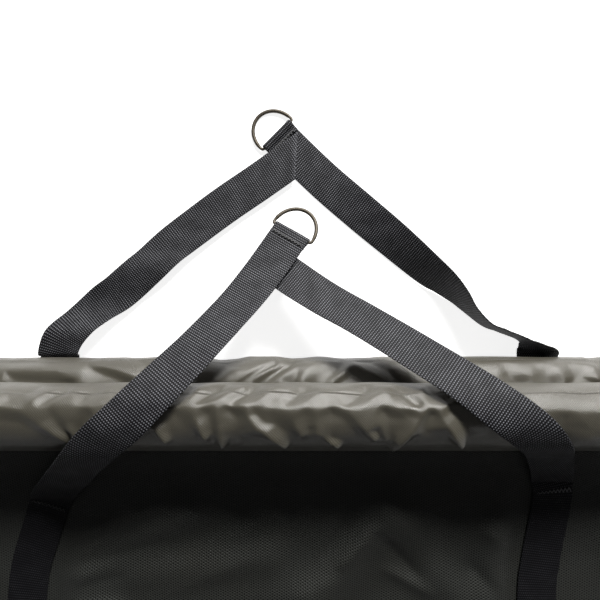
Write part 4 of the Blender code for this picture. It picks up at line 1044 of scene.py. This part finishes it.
REAR_FOLDS = fold_lines("""
-262 50 24, -238 50 30, -214 51 30, -190 49 20; -262 30 0, -190 28 2; -250 68 -24, -226 72 -32, -200 74 -32;
-206 62 14, -190 70 8; -184 44 -4, -172 54 -30, -160 64 -32, -148 74 -32; -176 40 20, -160 48 28,
-142 62 28, -130 72 22; -140 20 6, -130 44 -10; -118 14 16, -110 50 20; -98 10 -6, -92 58 -16; -80 8 14,
-82 66 16; -64 0 -30, -58 30 -30, -64 52 -32, -72 70 -30; -52 50 12, -60 66 8; -50 76 14, -34 52 30,
-18 32 30, -14 6 24; -43 76 -18, -28 54 -4, -12 36 -2; -38 76 14, -22 54 30, -8 36 26; -26 76 -30,
-14 56 -28, 2 34 -18, 10 8 -8; -14 76 14, -2 56 24, 12 34 16; 4 74 -20, 8 60 -6; 12 70 20, 22 40 22;
24 78 -30, 34 60 -30, 46 42 -14, 56 14 0; 32 6 14, 26 30 12; 40 76 12, 50 58 26, 58 40 20; 46 74 -24,
54 66 -24; 62 34 22, 74 54 26, 90 74 12; 58 50 -6, 72 74 -22; 78 30 0, 92 50 -8, 104 72 -26; 92 16 16,
112 48 20; 130 14 2, 138 60 -16; 158 12 18, 166 40 22, 176 62 16; 186 30 24, 230 34 24, 262 32 24;
190 58 18, 198 74 6; 204 62 -20, 210 74 -30; 218 56 20, 226 74 4; 236 62 -16, 242 76 -30; 250 54 20,
254 66 14; 258 74 -30, 268 60 -14""")


def wrapped(turn):
    """A turn as its angle between minus and plus half a circle."""
    return (turn + math.pi) % (2 * math.pi) - math.pi


def far_folds(sign, low, high):
    """Fold lines of the stretch that lies outside the photo on one side, from a fixed uneven row."""
    lines = []
    for k in range(FAR_FOLDS):
        a, b, c = (math.sin(12.9 * k + 7.7 * j + sign) * 43758.5 % 1 for j in range(3))
        at = sign * (FAR_START + FAR_PITCH * k + 8 * a)
        lines.append(((at, low - 14, 0.8 + b), (at + 7 * c - 3, low, 3.0 + a),
                      (at + 4 * b - 2, (low + high) / 2, 1.0 + b),
                      (at + 12 * b - 6, high - 20 * c, 3.0 + 3 * c),
                      (at + 13 * b - 6, high + 10 - 20 * c, -1.5)))
        at += sign * (9 + 4 * c)
        lines.append(((at, low - 20, -1.4 * b), (at + 6 * a - 3, low + 16, -0.4 - b),
                      (at + 8 * c - 4, high, -2.8)))
    return lines


def flanks(folds):
    """Lines in the hollow beside each tooth of the skirt, so that it narrows to its tip."""
    lines = []
    for line in folds:
        if len(line) > 3 and line[-1][2] < 0 < line[-2][2] and line[-2][1] > TOOTH_TURN:
            (wide_x, wide_turn, _), (tip_x, tip_turn, _) = line[-3:-1]
            for side in (-1, 1):
                lines.append(((wide_x + side * TOOTH_WIDE, wide_turn, -HOLLOW),
                              (tip_x + side * TOOTH_TIP, tip_turn, -HOLLOW)))
    return lines


def fold_rise(folds, edges, x, turn):
    """Heights of the cloth over the sleeve, straight between the points of the fold lines."""
    arc = (HALF_WIDTH + HALF_HEIGHT) / 2 / MM
    x = x / MM
    round_sleeve = ((turn + math.pi / 2) % (2 * math.pi) - math.pi / 2) * arc
    points = []
    for line in folds + [[(at, edge, 0.0) for at in range(-600, 601, 12)] for edge in edges]:
        line = np.array(line, float) * (1, math.radians(1) * arc, 1)
        lengths = running_lengths(line[:, :2])
        points.append(read_at(lengths, line, np.linspace(0, lengths[-1], int(lengths[-1] / FOLD_STEP) + 2)))
    points = np.vstack(points)
    made = delaunay_2d_cdt([Vector(p[:2]) for p in points], [], [], 0, 0.01)
    places = np.array([tuple(v) for v in made[0]])
    heights = np.array([points[source[0], 2] for source in made[3]])
    rise = np.zeros_like(x)
    for corners in made[2]:
        a, b, c = places[list(corners)]
        here = slice(*np.searchsorted(x[:, 0], (min(a[0], b[0], c[0]), max(a[0], b[0], c[0]))))
        if here.stop <= here.start:
            continue
        area = (b[0] - a[0]) * (c[1] - a[1]) - (c[0] - a[0]) * (b[1] - a[1])
        off_x, off_t = x[here] - a[0], round_sleeve[here] - a[1]
        at_b = (off_x * (c[1] - a[1]) - (c[0] - a[0]) * off_t) / area
        at_c = ((b[0] - a[0]) * off_t - off_x * (b[1] - a[1])) / area
        inside = (at_b >= 0) & (at_c >= 0) & (at_b + at_c <= 1)
        at_a, (high_a, high_b, high_c) = 1 - at_b - at_c, heights[list(corners)]
        rise[here][inside] = (high_a * at_a + high_b * at_b + high_c * at_c)[inside]
    rise = (np.roll(rise, 1, 1) + 2 * rise + np.roll(rise, -1, 1)) / 4
    rise[1:-1] = (rise[:-2] + 2 * rise[1:-1] + rise[2:]) / 4
    return rise * MM


def sleeve_base(turn, centre_y, centre_z, tail_turn):
    """Places of the plain sleeve profile, its outward directions and turns from its tail, round its axis."""
    off = wrapped(turn - tail_turn)
    y = HALF_WIDTH * np.cos(turn)
    z = HALF_HEIGHT * np.sin(turn)
    reach = np.hypot(y, z) + TAIL_REACH * np.exp(-(off / TAIL_SPREAD) ** 2)
    out = np.stack((np.cos(turn), np.sin(turn)), -1)
    return np.array((centre_y, centre_z)) + out * reach[..., None], out, off


def sleeve_turns(tail_turn, count):
    """Turns round the sleeve, closer together at its tail, so that points lie evenly along the cloth."""
    fine = np.linspace(-math.pi, math.pi, 4001)
    places, _, _ = sleeve_base(tail_turn + fine, 0, 0, tail_turn)
    lengths = running_lengths(places)
    at = np.linspace(0, lengths[-1], count + 1)[:-1]
    return tail_turn + read_at(lengths, fine, at), at


def loose_puckers(x, off, phase):
    """Uneven gathers beside the seam, strongest in the middle of the sling."""
    gather = np.sin(x / (4.9 * MM) + 1.6 * np.sin(x / (23 * MM) + phase) + phase)
    slant = np.sin(x / (13 * MM) + off * 2.4 + phase * 3 + 1.7 * np.sin(x / (61 * MM)))
    near = np.exp(-((np.abs(off) - 0.7) / 0.6) ** 2)
    return (0.8 * gather * near + 1.0 * slant * smooth_step(0.3, 1.1, np.abs(off))) * MM


class SleeveGrid:
    """The plain sleeve as a grid of points: rows along it, closer in its middle half, and points round it."""

    def __init__(self, rows, count, centre_y, centre_z, tail_turn):
        turns, around = sleeve_turns(tail_turn, count)
        near = 0.5 * SHELL_HALF_LENGTH
        xs = np.interp(np.linspace(0, 1, rows), (0, 0.15, 0.85, 1),
                       (-SHELL_HALF_LENGTH, -near, near, SHELL_HALF_LENGTH))
        base, out, off = sleeve_base(turns, centre_y, centre_z, tail_turn)
        self.x = np.repeat(xs[:, None], count, 1)
        self.off = np.repeat(off[None, :], rows, 0)
        self.turn = np.repeat(turns[None, :], rows, 0)
        self.out = np.concatenate((np.zeros((count, 1)), out), 1)[None]
        self.plain = np.concatenate((self.x[..., None], np.repeat(base[None], rows, 0)), 2)
        self.tail = np.exp(-(self.off / TAIL_SPREAD) ** 2)
        self.cloth = np.stack(np.broadcast_arrays(self.x, around[None, :]), -1)

    def outward(self, rise):
        """Moves out of the plain sleeve by these heights, held at the seam."""
        return (rise * (1 - self.tail))[..., None] * self.out


def finer(grid):
    """A grid with a smooth point put between each two, along the rows and round them."""
    low, high = 2 * grid[:1] - grid[1:2], 2 * grid[-1:] - grid[-2:-1]
    wide = np.concatenate((low, grid, high))
    rows = np.empty((2 * len(grid) - 1, *grid.shape[1:]))
    rows[::2] = grid
    rows[1::2] = (9 * (wide[1:-2] + wide[2:-1]) - wide[:-3] - wide[3:]) / 16
    after, before = np.roll(rows, -1, 1), np.roll(rows, 1, 1)
    out = np.empty((len(rows), 2 * rows.shape[1], *rows.shape[2:]))
    out[:, ::2] = rows
    out[:, 1::2] = (9 * (rows + after) - before - np.roll(rows, -2, 1)) / 16
    return out


def soft_clip(value, low, high):
    """Keeps values between two limits, easing into them."""
    middle, half = (high + low) / 2, np.maximum((high - low) / 2, 1e-6)
    return middle + half * np.tanh((value - middle) / half)


def make_sleeve(name, centre_y, centre_z, tail_turn, phase, folds, edges, cap_at):
    """A sleeve's cloth with its ends: the fold lines' heights and a share of the settled cloth's puckers."""
    place = centre_y, centre_z, tail_turn
    grid = SleeveGrid(2 * SLEEVE_ROWS - 1, 2 * SLEEVE_TURNS, *place)
    shape = grid.plain + grid.outward(fold_rise(folds, edges, grid.x, grid.turn))
    coarse = SleeveGrid(SLEEVE_ROWS, SLEEVE_TURNS, *place)
    start = coarse.plain + coarse.outward(loose_puckers(coarse.x, coarse.off, phase))
    settled = settle_cloth(name, start, coarse.plain, coarse.tail, centre_y, centre_z)
    shape = shape + finer(settled - coarse.plain) * SETTLED_SHARE
    rise = np.sum((shape - grid.plain) * grid.out, -1)
    held = soft_clip(rise, DEEPEST, cap_at(grid.x, grid.turn))
    shape = shape + grid.out * (held - rise)[..., None]
    ends = smooth_step(0, END_EASE, SHELL_HALF_LENGTH - np.abs(grid.x))
    shape = grid.plain + (shape - grid.plain) * np.maximum(ends, END_SHARE)[..., None]
    piece = add_piece(f"{name}_sleeve_cloth", shape, tube_faces(*grid.x.shape), SLEEVE_CLOTH, grid.cloth)
    close_ends(piece, 2 * SLEEVE_TURNS, centre_y + SETTLE, centre_z)
    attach(piece, f"{name}_half")
    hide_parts(f"{name}_sleeve", f"{name}_left_sleeve_end", f"{name}_right_sleeve_end")


def close_ends(piece, count, centre_y, centre_z):
    """Closes a sleeve's ends with crowned discs of cloth."""
    def crown(bm, verts):
        flat = bm.verts.layers.float_vector["cloth"]

        def put(sign, y, z, rise):
            made = bm.verts.new((sign * (SHELL_HALF_LENGTH + (END_CLOTH + GAP) * rise), y, z))
            made[flat] = Vector((y / MM, z / MM, 0))
            return made

        for sign, rim in ((-1, verts[:count]), (1, verts[-count:])):
            ring = rim
            for shrink, rise in CROWN_rings:
                fresh = [put(sign, centre_y + (vert.co.y - centre_y) * shrink,
                             centre_z + (vert.co.z - centre_z) * shrink, rise) for vert in rim]
                for corners in zip(ring, ring[1:] + ring[:1], fresh[1:] + fresh[:1], fresh):
                    bm.faces.new(corners)
                ring = fresh
            middle = put(sign, centre_y, centre_z, 1)
            for corners in zip(ring, ring[1:] + ring[:1]):
                bm.faces.new((*corners, middle))

    change_mesh(piece, crown)


def slack(x):
    """How much longer the cloth is than its seam, summed from the middle: more between the handles."""
    inner = SLACK_SPAN * np.tanh(x / SLACK_SPAN)
    return inner * SLACK_INNER + (x - inner) * SLACK_OUTER


def settle_cloth(name, start, plain, tail, centre_y, centre_z):
    """Runs the sleeve's cloth, cut longer than its seam, so that it buckles into puckers round the core."""
    shell = add_piece(f"{name}_trial", start, tube_faces(SLEEVE_ROWS, SLEEVE_TURNS), SLEEVE_CLOTH)
    shell.shape_key_add(name="held")
    cut = shell.shape_key_add(name="cut")
    centre = np.array((0, centre_y + SETTLE, centre_z))
    flat = plain + np.array((0, SETTLE, 0))
    flat = centre + (flat - centre) * np.array((1, 1 + SLACK_ROUND, 1 + SLACK_ROUND))
    flat[..., 0] += slack(plain[..., 0])
    cut.data.foreach_set("co", flat.astype(np.float32).ravel())
    pin = shell.vertex_groups.new(name="pin")
    hold = np.clip(tail * 1.4, 0, 1) ** 2
    hold = np.maximum(hold, (np.abs(plain[..., 0]) > SHELL_HALF_LENGTH - 2 * MM) * 1.0).ravel()
    for i in np.nonzero(hold > 0.02)[0].tolist():
        pin.add([i], float(hold[i]), "REPLACE")
    ring = [(centre_y + (HALF_WIDTH - CORE_INSIDE) * math.cos(turn),
             centre_z + (HALF_HEIGHT - CORE_INSIDE) * math.sin(turn))
            for turn in (2 * math.pi * k / CORE_SIDES for k in range(CORE_SIDES))]
    rows = [[(x, y, z) for y, z in ring] for x in np.linspace(-HALF_LENGTH, HALF_LENGTH, CORE_ROWS)]
    core = add_piece(f"{name}_trial_core", rows, tube_faces(CORE_ROWS, CORE_SIDES), FOAM)
    core.modifiers.new("collision", "COLLISION")
    core.collision.thickness_outer = 0.4 * MM
    core.collision.cloth_friction = 12
    cloth = shell.modifiers.new("cloth", "CLOTH")
    for key, value in CLOTH_SETTINGS.items():
        setattr(cloth.settings, key, value)
    cloth.settings.effector_weights.gravity = 0.0
    cloth.settings.rest_shape_key = cut
    cloth.collision_settings.collision_quality = 3
    cloth.collision_settings.distance_min = 0.5 * MM
    cloth.point_cache.frame_start, cloth.point_cache.frame_end = 1, FRAMES
    scene.frame_start, scene.frame_end = 1, FRAMES
    for number in range(1, FRAMES + 1):
        scene.frame_set(number)
    result = shell.evaluated_get(bpy.context.evaluated_depsgraph_get())
    places = np.zeros(start.size, np.float32)
    result.data.vertices.foreach_get("co", places)
    places = places.reshape(start.shape).astype(float)
    places[..., 1] -= SETTLE
    bpy.data.objects.remove(shell, do_unlink=True)
    bpy.data.objects.remove(core, do_unlink=True)
    scene.frame_set(1)
    return places


CONTACT_TURN = math.atan2(FRONT_SLEEVE_Z - REAR_SLEEVE_Z, -FRONT_SLEEVE_SHIFT)


def pressed(high, turn, place, spread, left):
    """The limit, brought down round this turn to what a contact leaves of it."""
    near = np.exp(-(wrapped(turn - place) / spread) ** 2)
    return high * (1 - near) + left * near


def front_cap(x, turn):
    """How far the front sleeve's cloth may stand out: less under the handle's legs and on the rear sleeve."""
    degrees = np.degrees(turn) % 360
    high = FRONT_HIGH + RIDGE_HIGH * np.exp(-((degrees - RIDGE_TURN) / RIDGE_SPREAD) ** 2)
    apart = np.min([np.abs(x / MM - start - run * (degrees - LEG_TURN)) for start, run in LEG_LINES], axis=0)
    skirt = smooth_step(70, 100, degrees) * smooth_step(190, 160, degrees)
    high = high + SKIRT_HIGH * smooth_step(*LEG_CLEAR, apart) * skirt
    return pressed(high, turn, CONTACT_TURN + math.pi, *FRONT_CONTACT)


def rear_cap(_, turn):
    """How far the rear sleeve's cloth may stand out: less under the front sleeve and on the ground."""
    high = pressed(REAR_HIGH, turn, CONTACT_TURN, *REAR_CONTACT)
    return pressed(high, turn, 1.5 * math.pi, *GROUND_CONTACT)


# Making

make_belly_straps()
for name, bar in (("front", make_front_straps()), ("rear", make_rear_straps())):
    make_ring(name, *bar)
folds = FRONT_FOLDS + far_folds(-1, 64, 118) + far_folds(1, 66, 118)
make_sleeve("front", -FRONT_SLEEVE_SHIFT, FRONT_SLEEVE_Z, FRONT_TAIL_TURN, FRONT_PHASE,
            folds + flanks(folds), FRONT_EDGES, front_cap)
folds = REAR_FOLDS + far_folds(-1, 46, 74) + far_folds(1, 46, 74)
make_sleeve("rear", 0, REAR_SLEEVE_Z, REAR_TAIL_TURN, REAR_PHASE, folds, REAR_EDGES, rear_cap)
mesh_cloth, flat_size = make_mesh_cloth()
make_bindings()

finishes = {"front_core": FOAM, "rear_core": FOAM, "front_right_bartack": LIGHT_THREAD}
for node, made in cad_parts.items():
    if node.endswith(("core", "bartack", "stitch")):
        made.data.materials.clear()
        made.data.materials.append(finishes.get(node, DARK_THREAD))

# Camera, ground and light
lens = bpy.data.cameras.new("camera")
lens.lens = CAMERA_LENS
lens.sensor_width = CAMERA_SENSOR
lens.clip_start = 0.01
scene.camera = bpy.data.objects.new("camera", lens)
scene.camera.location = CAMERA_PLACE
scene.collection.objects.link(scene.camera)

corners = [(-4, -4, 0), (4, -4, 0), (4, 4, 0), (-4, 4, 0)]
ground = add_piece("ground", corners, [(0, 1, 2, 3)], floor_material())

light = bpy.data.lights.new("key", "AREA")
light.shape = "RECTANGLE"
light.size, light.size_y = KEY_SIZE
light.energy = KEY_POWER
light.color = KEY_COLOUR
lamp = bpy.data.objects.new("key", light)
lamp.location = KEY_PLACE
lamp.rotation_euler = (KEY_AIM - KEY_PLACE).to_track_quat("-Z", "Y").to_euler()
scene.collection.objects.link(lamp)
scene.world = scene.world or bpy.data.worlds.new("world")
scene.world.use_nodes = True
background = scene.world.node_tree.nodes["Background"]
background.inputs[0].default_value = (1.0, 1.0, 1.0, 1.0)
background.inputs[1].default_value = SKY_STRENGTH
scene.view_settings.view_transform = "Standard"
